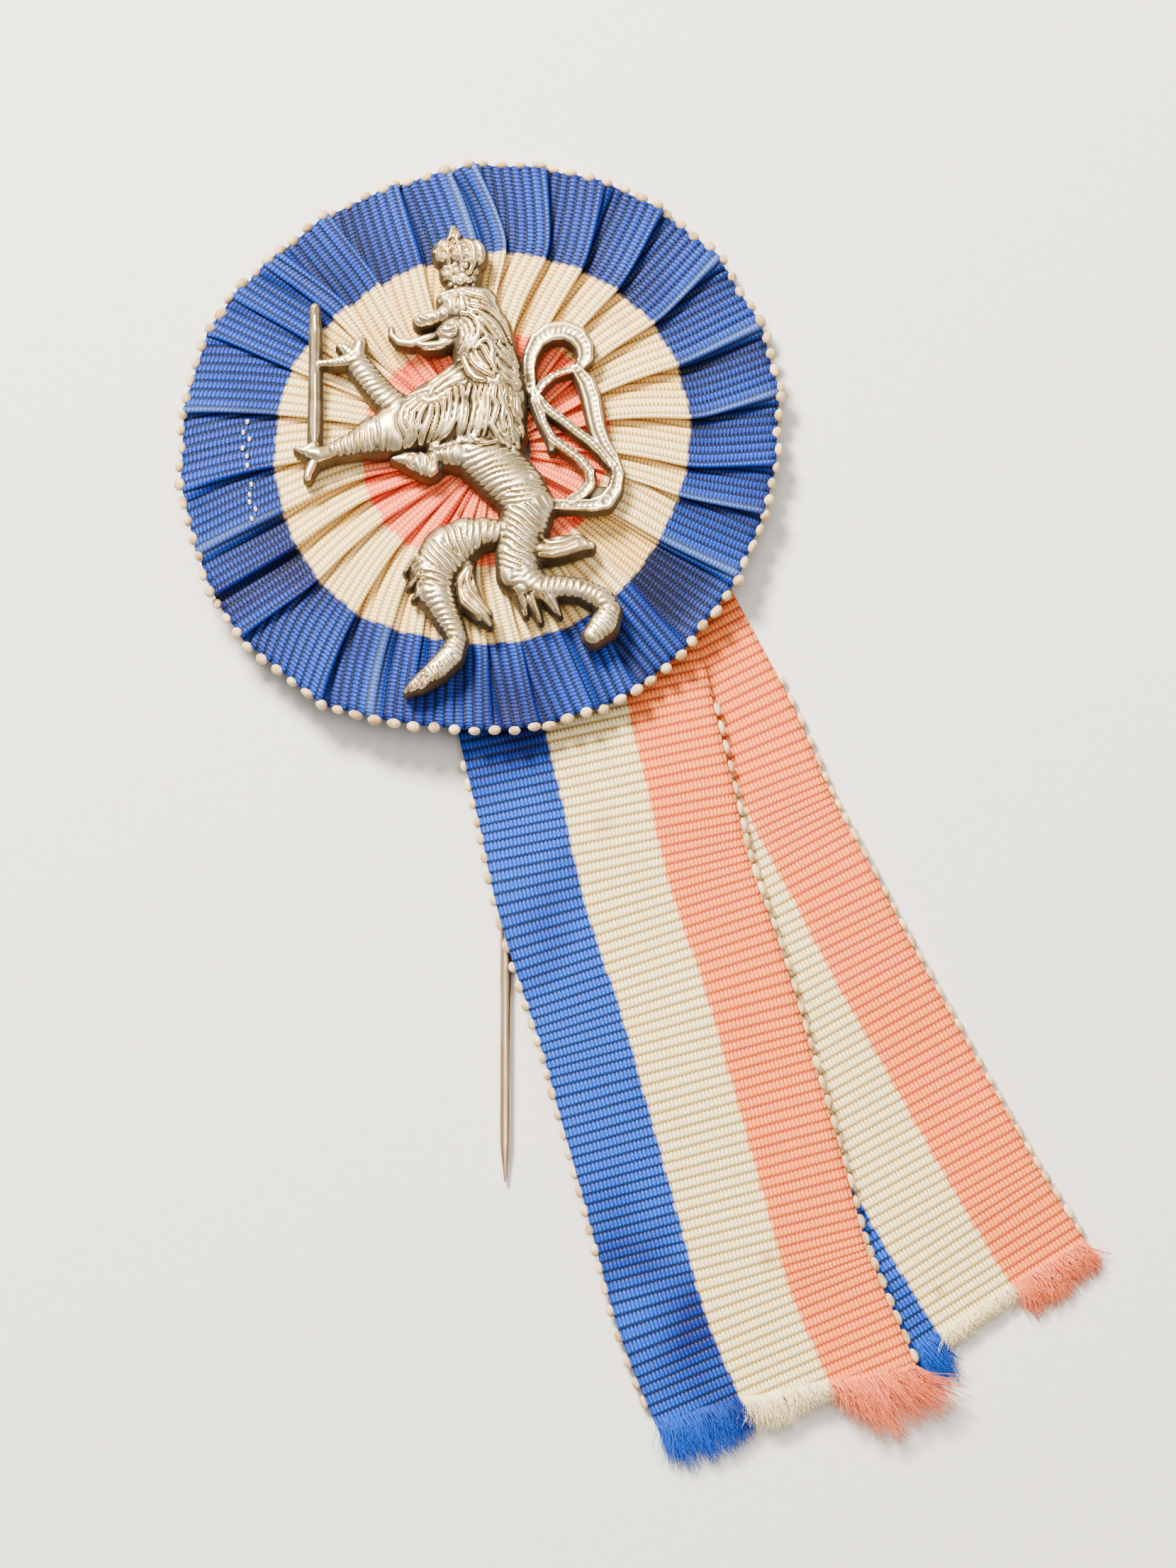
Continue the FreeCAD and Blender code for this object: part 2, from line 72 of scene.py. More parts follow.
# Rosette
WALL = 1.0                # ribbon wall
BASE_AT_CENTRE = 1.75     # underside of the rosette above the surface, at its centre
BASE_FALL = 0.055         # fall of that underside per mm towards the crown
RISE_RIM = 0.6            # height of a pleat at the rim
RISE_FULL = 1.1           # height of a pleat from half-way in
HOLE_RADIUS = 3.8         # gathered inner edge
HOLE_X = 1.0              # its centre is a little to the right

# One row per fold between two pleats.
# Columns: bearing at the rim, at the first stripe and at the second stripe in degrees, depth as a
# share of the full pleat height, rim radius.
FOLDS = (
    (8.3, 6.2, 12.5, 1.0, 30.2), (21.9, 22.0, 25.5, 1.0, 30.9), (37.4, 35.3, 38.5, 1.0, 31.4),
    (51.5, 49.0, 52.0, 1.0, 31.4), (63.8, 60.2, 63.0, 1.0, 31.2), (75.0, 70.0, 76.5, 1.0, 30.8),
    (88.5, 81.0, 86.0, 1.0, 30.8), (93.0, 89.5, 94.0, 0.8, 30.1), (103.5, 105.3, 109.0, 1.0, 29.8),
    (118.3, 118.0, 121.0, 0.9, 29.7), (131.0, 129.0, 134.5, 0.7, 29.5), (137.5, 136.5, 139.5, 0.5, 29.6),
    (146.5, 146.5, 148.0, 0.4, 30.0), (155.5, 156.3, 156.5, 0.4, 30.3), (172.0, 170.0, 168.0, 0.6, 30.1),
    (187.5, 184.8, 182.0, 0.6, 30.0), (200.5, 198.0, 193.0, 0.7, 30.1), (209.5, 208.5, 203.0, 0.8, 30.2),
    (219.0, 220.3, 216.0, 0.7, 30.5), (238.5, 234.0, 229.0, 0.8, 30.3), (248.5, 243.8, 238.0, 0.8, 29.5),
    (256.0, 252.5, 247.0, 0.6, 29.0), (264.0, 262.0, 257.0, 0.6, 28.7), (271.8, 271.5, 267.0, 0.5, 28.8),
    (281.5, 281.0, 278.0, 0.5, 28.9), (292.0, 291.5, 290.0, 0.7, 28.9), (301.0, 303.5, 303.0, 0.9, 28.9),
    (314.0, 315.6, 316.0, 0.9, 28.6), (329.5, 329.8, 331.5, 0.8, 28.5), (343.5, 343.5, 346.5, 0.8, 28.7),
    (354.0, 352.5, 357.0, 0.9, 29.2),
)

# Ribbon tails
RIBBON_WIDTH = 25.0
ACROSS = (-12.5, -11.0, -9.5, -8.0, -6.3, -4.7, -4.1, -2.2, 0.0, 2.2, 4.1, 4.7, 6.3, 8.0, 9.5, 11.0, 12.5)

# Columns: x, y of the ribbon's middle line, height of the left edge's underside, and of the right edge's.
FRONT_LINE = (
    (7.6, -15.0, 1.25, 1.25), (9.8, -24.7, 1.25, 1.25), (12.0, -34.3, 1.3, 1.3), (14.1, -43.8, 1.4, 1.25),
    (17.8, -55.3, 1.5, 1.25), (19.6, -61.8, 1.3, 1.3), (21.4, -68.2, 1.1, 1.35), (23.3, -75.3, 0.8, 1.3),
    (25.2, -82.4, 0.5, 1.3), (27.2, -87.6, 0.3, 1.3), (29.2, -92.4, 0.1, 1.25),
)
BACK_LINE = (
    (12.6, -17.6, 0.0, 0.1), (19.0, -30.1, 0.0, 0.1), (23.0, -39.6, 0.0, 0.2), (26.8, -46.9, 0.0, 0.35),
    (30.5, -54.3, 0.0, 0.3), (36.4, -65.1, 0.0, 0.1), (42.2, -75.8, 0.0, 0.3), (45.0, -80.4, 0.0, 0.2),
    (47.7, -84.8, 0.0, 0.0),
)

# One row per place in ACROSS.
# Columns: where the weave ends past the middle line's end, length of the frayed lock, its sideways lean.
FRONT_FRAY = (
    (-2.0, 3.5, -0.3), (-1.7, 5.4, -0.2), (-1.4, 4.4, 0.0), (-1.1, 5.2, 0.0), (-0.8, 4.2, 0.2), (-0.5, 3.4, 0.2),
    (-0.4, 2.2, 0.0), (0.0, 3.4, 0.0), (0.4, 2.8, 0.0), (0.8, 1.8, 0.0), (1.2, 1.2, 0.0), (1.3, 3.4, 0.2),
    (1.6, 6.2, 0.6), (2.0, 7.0, 0.9), (2.3, 5.6, 1.8), (2.6, 5.8, 2.6), (2.9, 4.6, 3.4),
)
BACK_FRAY = (
    (0.0, 3.0, 0.0), (0.0, 4.2, 0.0), (0.0, 3.6, 0.0), (0.0, 4.6, 0.0), (0.2, 4.0, 0.2), (0.2, 4.6, 0.2),
    (0.2, 1.4, 0.0), (0.2, 1.6, 0.0), (0.2, 1.0, 0.0), (0.1, 1.2, 0.0), (0.0, 1.2, 0.0), (0.0, 3.8, 0.1),
    (0.0, 3.2, 0.2), (0.0, 4.0, 0.3), (0.0, 2.8, 0.4), (0.0, 3.2, 0.5), (0.0, 2.4, 0.6),
)
BACK_CORNER_CUT = 6.0     # slanting cut of the back tail's hidden left corner, beside the pin
BACK_CORNER_REACH = 4.5   # width of that cut

# Pin
PIN_X = 2.5
SHANK_RADIUS = 0.58
STEM_RADIUS = 0.53
PIN_BEND = 1.6            # radius of the bend's middle line
SHANK_END = -53.0
STEM_END = -68.0
POINT_END = -72.1
POINT_RADIUS = 0.12
SHOULDER = 0.8            # short cone from shank to stem
SOCKET_RADIUS = 1.35
SOCKET_BORE = 0.7
SOCKET_DEPTH = 1.3

# Lion
SEAT = 0.1                # clearance between the pleats and the lion's back, and above the pin's post
EDGE = 0.9                # thickness at the outline

# One entry per limb or lock. Columns of its rows: x, y of the middle line, half width, height of the crest.
LION = {
    "crown orb": [(-3.4, 20.1, 1.74, 2.3), (-1.3, 19.9, 1.89, 2.4)],
    "crown foot": [(-2.9, 18.0, 1.45, 2.1), (-1.7, 17.8, 1.60, 2.1), (-2.0, 16.6, 1.74, 2.1)],
    "crown knob": [(-2.9, 22.7, 0.51, 1.6), (-2.8, 21.8, 0.87, 2.0)],
    "brow": [(-3.5, 15.0, 1.16, 2.4), (-1.8, 15.1, 1.45, 2.8), (-0.2, 14.7, 1.88, 3.0)],
    "skull": [(-2.5, 14.1, 1.88, 2.9), (-0.6, 13.8, 2.46, 3.2), (0.0, 11.6, 3.03, 3.4)],
    "mane": [(0.0, 11.6, 3.03, 3.4), (0.4, 8.6, 3.31, 3.5), (0.7, 6.0, 3.73, 3.5), (1.1, 3.3, 3.44, 3.3),
             (2.1, 1.1, 2.43, 3.0), (3.0, -0.5, 1.29, 2.4)],
    "chest": [(-2.1, 6.0, 2.44, 3.3), (-4.1, 4.0, 3.01, 3.3), (-6.2, 2.5, 3.01, 3.1), (-8.3, 1.6, 2.72, 2.9)],
    "chest foot": [(-5.5, 1.8, 2.43, 3.0), (-1.7, 2.5, 2.86, 3.2), (1.4, 2.0, 2.72, 3.0)],
    "muzzle": [(-3.5, 13.5, 1.08, 2.6), (-5.1, 12.9, 0.87, 2.5), (-6.0, 12.8, 0.94, 2.5)],
    "cheek": [(-2.5, 11.9, 1.73, 2.8), (-3.4, 11.6, 1.30, 2.5)],
    "tongue": [(-3.9, 11.6, 0.50, 1.9), (-5.6, 11.0, 0.58, 1.9), (-7.0, 10.5, 0.65, 1.8), (-8.2, 10.7, 0.58, 1.7),
               (-8.9, 11.4, 0.43, 1.5), (-9.0, 12.2, 0.32, 1.3)],
    "jaw": [(-2.9, 11.0, 1.01, 2.3), (-4.3, 10.2, 0.76, 2.2), (-5.5, 10.1, 0.65, 2.1), (-6.2, 10.3, 0.43, 1.9)],
    "fore leg": [(-8.3, 1.5, 2.65, 2.8), (-10.4, 0.9, 2.22, 2.5), (-12.1, 0.2, 1.57, 2.3), (-13.7, -0.4, 1.21, 2.1),
                 (-15.1, -0.8, 0.93, 2.0)],
    "fist": [(-15.1, -1.0, 0.93, 2.3), (-15.9, -1.2, 1.00, 2.5), (-16.8, -1.0, 0.79, 2.3)],
    "guard": [(-18.1, -0.5, 0.43, 1.8), (-17.5, -0.8, 0.57, 2.1), (-16.4, -0.2, 0.57, 2.1)],
    "pommel": [(-16.5, -2.1, 0.71, 2.0), (-16.9, -3.0, 0.57, 2.0), (-17.0, -3.5, 0.50, 2.0)],
    "blade": [(-16.6, 14.5, 0.51, 1.2), (-16.5, 11.6, 0.65, 1.4), (-16.4, 4.9, 0.75, 1.5), (-16.4, -0.2, 0.79, 1.6)],
    "raised leg": [(-8.2, 3.7, 1.72, 2.4), (-9.4, 4.8, 1.51, 2.3), (-10.8, 6.4, 1.44, 2.2), (-11.9, 7.9, 1.37, 2.1),
                   (-12.6, 9.0, 1.30, 2.2)],
    "raised toe 1": [(-12.6, 9.1, 1.08, 2.2), (-13.6, 10.0, 0.72, 2.1), (-14.0, 10.2, 0.50, 1.8)],
    "raised toe 2": [(-12.2, 9.5, 0.86, 2.2), (-12.0, 10.5, 0.72, 2.1), (-11.9, 10.9, 0.50, 1.8)],
    "raised toe 3": [(-13.1, 8.7, 0.86, 2.1), (-14.6, 8.5, 0.65, 1.9), (-15.6, 8.5, 0.50, 1.6),
                     (-16.3, 8.5, 0.43, 1.4)],
    "elbow": [(-8.6, -1.5, 0.43, 1.6), (-7.3, -1.6, 1.00, 2.1), (-6.0, -2.0, 1.36, 2.3), (-5.1, -2.3, 1.50, 2.3)],
    "belly": [(-4.1, -1.0, 1.43, 2.6), (-2.4, -1.0, 1.86, 2.9)],
    "trunk": [(-0.5, -0.5, 2.86, 3.0), (1.5, -2.4, 2.99, 3.0), (3.6, -4.6, 2.85, 2.9), (4.7, -6.4, 2.63, 2.9),
              (4.1, -8.9, 2.55, 2.8), (3.7, -11.2, 2.34, 2.7), (3.7, -13.2, 2.26, 2.7), (4.4, -14.5, 1.69, 2.6)],
    "tail root": [(5.6, -6.2, 1.28, 2.2), (7.4, -6.3, 0.78, 1.8), (9.2, -6.3, 0.71, 1.7), (10.8, -6.3, 0.85, 1.7),
                  (12.2, -5.9, 1.00, 1.7)],
    "tail outer": [(12.2, -5.9, 1.00, 1.7), (13.1, -4.6, 0.85, 1.7), (13.4, -3.0, 0.71, 1.7), (12.9, -1.4, 0.71, 1.7),
                   (12.0, 0.1, 0.79, 1.7), (11.4, 1.6, 0.93, 1.8), (11.1, 3.1, 1.00, 1.8), (10.8, 4.9, 1.08, 1.8),
                   (10.3, 6.4, 1.01, 1.8), (9.4, 7.7, 0.72, 1.7)],
    "tail bar 1": [(4.8, 5.8, 0.72, 1.8), (5.5, 4.8, 0.65, 1.8), (6.4, 3.7, 0.65, 1.8), (8.1, 2.4, 0.61, 1.7),
                   (9.4, 1.3, 0.61, 1.7), (10.7, 0.3, 0.61, 1.7), (11.9, -1.0, 0.61, 1.7), (12.8, -2.1, 0.61, 1.7)],
    "tail bar 2": [(5.3, 4.5, 0.72, 1.8), (6.0, 2.3, 0.61, 1.7), (6.8, 0.7, 0.64, 1.7), (8.2, -0.4, 0.61, 1.7),
                   (9.6, -1.5, 0.64, 1.7), (10.6, -2.8, 0.64, 1.7), (10.7, -4.0, 0.64, 1.7), (9.9, -5.1, 0.71, 1.7),
                   (8.8, -5.8, 0.71, 1.7)],
    "tail lobe": [(6.9, 0.3, 0.57, 1.6), (6.9, -0.4, 0.50, 1.3)],
    "tail web": [(11.2, -4.9, 0.78, 1.1), (12.0, -4.9, 0.71, 1.1)],
    "tail loop": [(4.8, 6.0, 0.72, 1.8), (4.6, 7.9, 0.79, 1.8), (4.8, 9.3, 0.86, 1.8), (5.5, 10.8, 1.01, 1.9),
                  (6.7, 11.7, 1.15, 1.9), (8.2, 11.9, 1.23, 1.9), (9.4, 11.3, 1.23, 1.9), (10.1, 10.2, 1.08, 1.9),
                  (10.2, 9.1, 0.94, 1.8), (9.7, 8.2, 0.65, 1.7)],
    "tail inner": [(9.4, 7.9, 0.58, 1.7), (8.2, 7.6, 0.50, 1.7), (7.1, 7.2, 0.50, 1.7), (6.0, 6.3, 0.57, 1.8),
                   (5.4, 5.3, 0.57, 1.8)],
    "left thigh": [(2.0, -9.1, 1.42, 2.3), (0.2, -9.1, 1.70, 2.4), (-1.5, -9.6, 2.20, 2.6), (-3.2, -10.9, 2.69, 2.8),
                   (-4.4, -13.0, 2.54, 2.8), (-4.4, -15.0, 2.05, 2.6)],
    "left shin": [(-4.4, -15.0, 2.05, 2.6), (-3.6, -17.0, 1.55, 2.4), (-2.7, -18.7, 1.27, 2.2),
                  (-2.2, -20.0, 1.12, 2.1)],
    "left foot": [(-2.2, -20.0, 1.12, 2.1), (-2.8, -21.6, 1.33, 2.1), (-4.2, -23.1, 1.26, 2.1),
                  (-5.8, -24.3, 0.98, 2.0), (-7.1, -25.2, 0.42, 1.7)],
    "left tuft 1": [(-6.0, -12.0, 0.85, 2.2), (-7.3, -13.1, 0.35, 1.5)],
    "left tuft 2": [(-5.8, -13.7, 0.85, 2.2), (-7.0, -14.7, 0.35, 1.5)],
    "left tuft 3": [(-5.4, -15.0, 0.85, 2.1), (-6.5, -15.9, 0.35, 1.5)],
    "leaf": [(-1.3, -12.6, 0.85, 2.1), (-1.5, -14.2, 1.13, 2.3), (-1.0, -16.1, 1.27, 2.3), (0.2, -17.5, 1.06, 2.1),
             (0.9, -18.4, 0.49, 1.7)],
    "right knee": [(4.1, -13.5, 1.91, 2.7), (5.8, -14.9, 1.55, 2.6), (7.7, -14.7, 1.34, 2.4), (9.8, -14.9, 1.27, 2.3),
                   (11.8, -15.9, 1.34, 2.3), (12.6, -17.1, 1.27, 2.2)],
    "right foot": [(12.6, -17.2, 1.27, 2.2), (12.0, -18.5, 1.55, 2.3), (11.0, -19.6, 1.19, 2.1)],
    "right tuft 1": [(3.9, -15.4, 0.85, 2.2), (4.4, -17.5, 0.35, 1.5)],
    "right tuft 2": [(4.9, -15.9, 0.85, 2.2), (5.9, -18.1, 0.35, 1.5)],
    "right tuft 3": [(6.7, -15.9, 0.92, 2.2), (7.7, -17.5, 0.35, 1.5)],
    "rear curl": [(5.8, -11.1, 1.27, 2.3), (7.7, -10.7, 1.42, 2.5), (9.5, -10.3, 1.20, 2.4),
                  (10.6, -10.5, 0.71, 2.0)],
}

# Raised strands on the casting, in hundredths of a millimetre: half width, rise, then x and y of each point.
STRANDS = {
    "face": (
        (35, 30, -463, 1509, -373, 1573, -253, 1596, -113, 1589, 7, 1557, 108, 1482, 168, 1397, 219, 1307),
        (21, 30, -448, 1498, -427, 1439, -414, 1413),
        (15, 25, -392, 1413, -357, 1418, -332, 1389, -342, 1349),
        (18, 35, -370, 1381, -366, 1375),
        (18, 22, -243, 1541, -282, 1455, -280, 1360, -261, 1317),
        (35, 25, -407, 1402, -382, 1328, -341, 1275),
        (45, 30, -381, 1264, -321, 1243, -301, 1222),
        (28, 30, -611, 1296, -541, 1264, -471, 1200, -425, 1158, -410, 1094),
        (19, 40, -201, 1509, -232, 1455, -237, 1402, -202, 1349),
        (19, 45, -193, 1498, -152, 1466, -142, 1413, -132, 1360),
        (18, 30, -200, 1466, -192, 1402, -177, 1360),
        (21, 28, -598, 978, -528, 954, -439, 959, -359, 988),
        (21, 25, -400, 1169, -340, 1158, -280, 1169),
        (21, 25, -390, 1105, -330, 1094, -270, 1105),
    ),
    "mane": (
        (28, 45, -201, 1317, -121, 1307, -61, 1253, -25, 1169, -35, 1073, -84, 988, -139, 925),
        (25, 42, -201, 1275, -131, 1222, -90, 1126, -110, 1031, -169, 962, -229, 920),
        (23, 38, -216, 1243, -170, 1179, -148, 1105, -161, 1020, -204, 962),
        (21, 34, -239, 1211, -205, 1147, -200, 1073, -217, 1015),
        (28, 45, -132, 1349, -31, 1322, 59, 1259, 124, 1195, 185, 1110, 235, 1031),
        (28, 45, -112, 1402, -12, 1381, 89, 1344, 169, 1280, 229, 1206, 270, 1115, 290, 1031),
        (31, 45, -163, 1551, -73, 1517, 23, 1493, 108, 1432, 158, 1365),
        (24, 35, 8, 1439, 78, 1408, 139, 1349, 169, 1296),
        (28, 45, -31, 1259, 44, 1200, 105, 1121, 155, 1052, 215, 1015),
        (26, 42, -16, 1200, 18, 1110, 70, 1052, 130, 1015),
        (24, 35, 229, 1285, 274, 1190, 305, 1073, 320, 978),
        (31, 50, -29, 988, 50, 1031, 98, 988, 116, 914, 106, 830, 127, 735),
        (29, 48, -69, 925, -24, 972, 26, 935, 56, 861, 107, 766, 140, 692),
        (25, 42, -59, 893, -38, 830, 12, 766, 72, 719),
        (29, 46, -109, 872, -88, 798, -28, 735, 52, 682, 117, 650),
        (33, 46, -188, 851, -160, 766, -117, 682, -57, 618, 23, 597),
        (28, 45, 151, 925, 201, 861, 271, 819, 326, 766, 351, 687),
        (29, 46, 151, 819, 191, 745, 251, 703, 326, 661, 369, 597, 354, 545),
        (25, 42, 202, 682, 252, 618, 302, 587, 334, 539),
        (25, 40, 240, 1009, 295, 946, 329, 861, 361, 782),
        (25, 40, 170, 988, 230, 925, 301, 856),
    ),
    "shoulder": (
        (28, 35, -505, 608, -416, 682, -317, 766, -238, 840),
        (31, 35, -504, 460, -475, 555, -386, 634, -277, 698, -208, 756),
        (31, 35, -445, 481, -356, 555, -256, 603, -187, 629),
        (28, 30, -713, 481, -634, 513, -535, 534, -505, 587),
    ),
    "chest": (
        (28, 45, -643, 429, -742, 366, -786, 261, -775, 145, -729, 51, -743, -54),
        (25, 42, -633, 387, -717, 313, -731, 208, -695, 124, -679, 51, -713, -23),
        (25, 42, -583, 366, -667, 282, -681, 187, -640, 103, -651, 30, -708, -49),
        (25, 40, -548, 345, -597, 271, -619, 187, -608, 114),
        (36, 50, -488, 334, -507, 229, -559, 103, -590, 19, -599, -64),
        (26, 42, -434, 355, -431, 250, -460, 145, -491, 61, -520, -7),
        (25, 42, -366, 418, -366, 313, -381, 187, -412, 103, -470, 4),
        (26, 44, -310, 471, -302, 345, -328, 208, -350, 124, -401, 40),
        (29, 48, -258, 524, -237, 408, -249, 303, -261, 208, -312, 103, -421, -7, -510, -35),
        (32, 48, -194, 534, -173, 408, -189, 250, -211, 124, -230, 14),
        (26, 44, -115, 560, -144, 429, -141, 303, -162, 145, -200, 4),
        (26, 44, -62, 534, -81, 429, -63, 313, -92, 166, -141, 40, -190, -10),
        (26, 44, -5, 545, -31, 439, -14, 324, -33, 187, -72, 61, -131, -4),
        (26, 44, 47, 539, 19, 429, 19, 303, 7, 187, -32, 61, -88, 7),
        (28, 44, 99, 545, 68, 429, 66, 303, 47, 166, 26, 51),
        (28, 44, 131, 529, 115, 418, 156, 334, 126, 229, 97, 145, 165, 40, 217, -25),
        (26, 42, 186, 534, 185, 429, 225, 334, 206, 208, 226, 98),
        (26, 42, 246, 524, 215, 418, 245, 313, 285, 229, 296, 124, 326, -7),
        (25, 40, 308, 481, 295, 355, 345, 250, 415, 161),
        (25, 40, 358, 439, 366, 334, 407, 240, 455, 182),
        (28, 40, 315, 145, 356, 61, 366, -49),
        (28, 40, 397, 145, 431, 61, 426, -64),
        (28, 30, -529, -64, -381, -54, -232, -7, -73, -7, 66, -28, 215, -7, 275, -54),
    ),
    "elbow": (
        (25, 35, -594, -101, -547, -148, -546, -232, -585, -315),
        (25, 35, -678, -148, -716, -221, -676, -315, -606, -367),
        (25, 35, -499, -127, -449, -200, -438, -273, -497, -336),
    ),
    "leaf": (
        (35, 45, -124, -1299, -200, -1386, -222, -1501, -177, -1624, -80, -1710, 3, -1768),
        (31, 45, -90, -1277, -126, -1415, -92, -1530, -12, -1617, 64, -1689, 134, -1775),
        (22, 35, -42, -1270, -62, -1371, -51, -1472, 2, -1573),
        (25, 35, 17, -1775, 72, -1832, 107, -1883),
    ),
    "left leg": (
        (22, 35, -577, -2376, -679, -2462, -747, -2541),
        (21, 35, -563, -2419, -630, -2505, -671, -2545),
        (21, 35, -494, -2419, -548, -2491, -589, -2533),
        (25, 30, -591, -2355, -529, -2365, -460, -2412),
        (22, 35, -609, -1140, -677, -1198, -731, -1314),
        (22, 35, -594, -1241, -656, -1270, -690, -1357),
        (22, 35, -600, -1357, -675, -1444, -667, -1559),
        (22, 35, -572, -1415, -626, -1487, -619, -1573),
    ),
    "right leg": (
        (24, 40, 325, -1566, 367, -1689, 450, -1804),
        (24, 40, 498, -1559, 546, -1703, 592, -1839),
        (24, 40, 594, -1588, 677, -1703, 767, -1806),
        (21, 35, 408, -1573, 443, -1674, 478, -1775),
    ),
    "rear curl": (
        (29, 42, 593, -966, 676, -1046, 800, -1031, 938, -966, 1035, -1024),
        (29, 42, 579, -1162, 704, -1169, 842, -1133, 966, -1082, 1049, -1068),
    ),
    "crown": (
        (22, 30, -405, 2126, -447, 2026, -456, 1918, -432, 1835, -384, 1760),
        (22, 32, -346, 2126, -343, 2018, -339, 1918, -323, 1835, -299, 1781),
        (22, 32, -266, 2143, -232, 2059, -212, 1968, -206, 1885, -195, 1797),
        (25, 36, -178, 2134, -98, 2076, -74, 1976, -93, 1868, -127, 1776),
        (28, 30, -61, 2126, -4, 2059, 11, 1951, -18, 1851, -63, 1785),
        (31, 25, -312, 2268, -333, 2209, -338, 2159),
        (35, 30, -234, 2260, -202, 2209, -241, 2168),
    ),
}

# Pearls of the crown, in hundredths of a millimetre: x, y, radius.
BEADS = {
    "left arch": ((-442, 2069, 28), (-491, 2003, 28), (-506, 1914, 28), (-482, 1830, 29), (-439, 1760, 28)),
    "second arch": ((-392, 2016, 25), (-403, 1926, 28), (-367, 1839, 28), (-316, 1760, 25)),
    "middle arch": ((-295, 2108, 25), (-296, 2033, 28), (-286, 1949, 32), (-276, 1861, 29), (-252, 1776, 25)),
    "fourth arch": ((-189, 2051, 32), (-160, 1955, 29), (-170, 1851, 28), (-137, 1781, 26)),
    "foot": ((-378, 1710, 24), (-321, 1650, 28), (-214, 1683, 42), (-134, 1692, 32), (-268, 1627, 21),
             (-85, 1644, 25)),
}

# Stains: x, y, radius, colour, strength.
RUFFLE_STAINS = ((-15.3, 10.3, 2.6, "#C79A62", 0.55), (-14.3, 8.0, 0.9, "#D98A4A", 0.8),
                 (14.0, 13.5, 1.6, "#CDAE7C", 0.4))
FRONT_STAINS = ((12.0, -37.5, 1.5, "#CBA877", 0.5), (27.6, -79.6, 1.2, "#C9A06C", 0.6))
BACK_STAINS = ((44.0, -82.6, 0.9, "#8A6B44", 0.7),)

# Ribbon
PITCH = 0.97              # from one rib of the weave to the next
SAMPLES = 6               # points across a rib
RIBS = 207                # ribs in the gathered length
ROWS = 36                 # rows of points across the gathered ribbon
TAIL_ROWS = 30            # and across a tail
RIB_HEIGHT = 0.2
TAIL_RIB_HEIGHT = 0.13
RUFFLE_THICKNESS = 0.25
TAIL_THICKNESS = 0.4
TAIL_FACE = 0.8           # height of a tail's face above its underside in the CAD
THREAD = 0.39             # from one warp thread to the next
HALF_WIDTH = RIBBON_WIDTH / 2
TAIL_STRIPES = (8.33, 16.66)     # where the blue and the cream end, from the blue edge
RUFFLE_STRIPES = (8.8, 16.7)
LINE_STEPS = 20           # points between two stations of a tail's middle line
LINE_PAST_END = 14.0      # how far the line runs on past the tail's end
TAIL_SPARE = 3.2          # length of grid past the end, of which the fray's table keeps some

# Pleats
LEAN_TURNS = (135, 315)   # bearings between which the pleats lean the other way
RIM_INSET = 0.2           # from the outline to the crests' ends
STATIONS = np.array([0, 1 / 3, 2 / 3])   # rim, first stripe and second stripe, as shares of the way in
CREST_LEAD = (3.6, 2.5, 2.0)   # degrees from a fold on the right to its crest, at the stations
DROP_PLACES = (0, 0.3, 0.6, 1) # shares of the way in
DROPS = (1.15, 1.5, 2.0, 2.2)  # depth of a full pleat at those places
MOST_TUCK = 1.8           # how far a fold can reach under its neighbour
STEEP_SHARE = 0.27        # share of a shallow pleat that is its steep side
BOTTOM_FROM, BOTTOM_TO, BOTTOM_SHARE = 0.1, 0.9, 0.8   # flat bottom between two crests that lean apart
ROOM_BELOW = 0.45         # kept free under a pleat's bottom
SUPPORTS = ((FRONT_LINE, 2.3), (BACK_LINE, 1.2))   # what the rosette lies on, and how high it is
SUPPORT_REACH = 13.0      # how far from a tail's middle line the tail holds the rosette up
FLOOR_UNDER = 0.05        # height of the floor elsewhere
# The painted shade in a fold is darkest at this depth.
FOLD_DEPTH = 1.3          # depth at which a fold is at its darkest

# Bearings of the crests whose dye is worn pale.
WORN_CRESTS = (11.5, 26, 41, 92, 173, 201, 248, 319, 332, 346)

# Threads
STITCH_BEARINGS = (172.4, 175.3, 177, 179.4, 181.6, 184, 188.5, 191.2, 193.2, 195.4, 197.5)
STITCH_RADIUS, STITCH_STRAY = 23.3, 0.35
STITCH_SIZE = (0.6, 0.36, 0.3)
LOOP_POINTS, STITCH_POINTS = (12, 8), (10, 6)   # segments and rings of their ovals
# Loops: least and most length along the edge, least and most reach outward, height.
RIM_LOOP_LONG, RIM_LOOP_OUT, RIM_LOOP_HIGH = (1.1, 1.6), (0.78, 1.1), 0.95
RIM_LOOP_STRAY = 0.28
TAIL_LOOP_OUT, TAIL_LOOP_HIGH = (0.75, 0.9), 0.75
TAIL_LOOP_LONG = {-1: 1.3, 1: 1.5}       # on the left edge and on the right edge
TAIL_LOOP_PLACE, TAIL_LOOP_RISE = 12.66, 0.5   # from the middle line, and above the underside
FRAY_THREADS = 2100
FRAY_STEPS = 9            # points along a loose thread
FRAY_SIDES = 3
FRAY_ROOT = 0.9           # length of a loose thread that lies in the weave
FRAY_REACH = 12.4         # from the middle line to the outermost thread
FRAY_LOWEST = 0.07        # height below which no thread lies

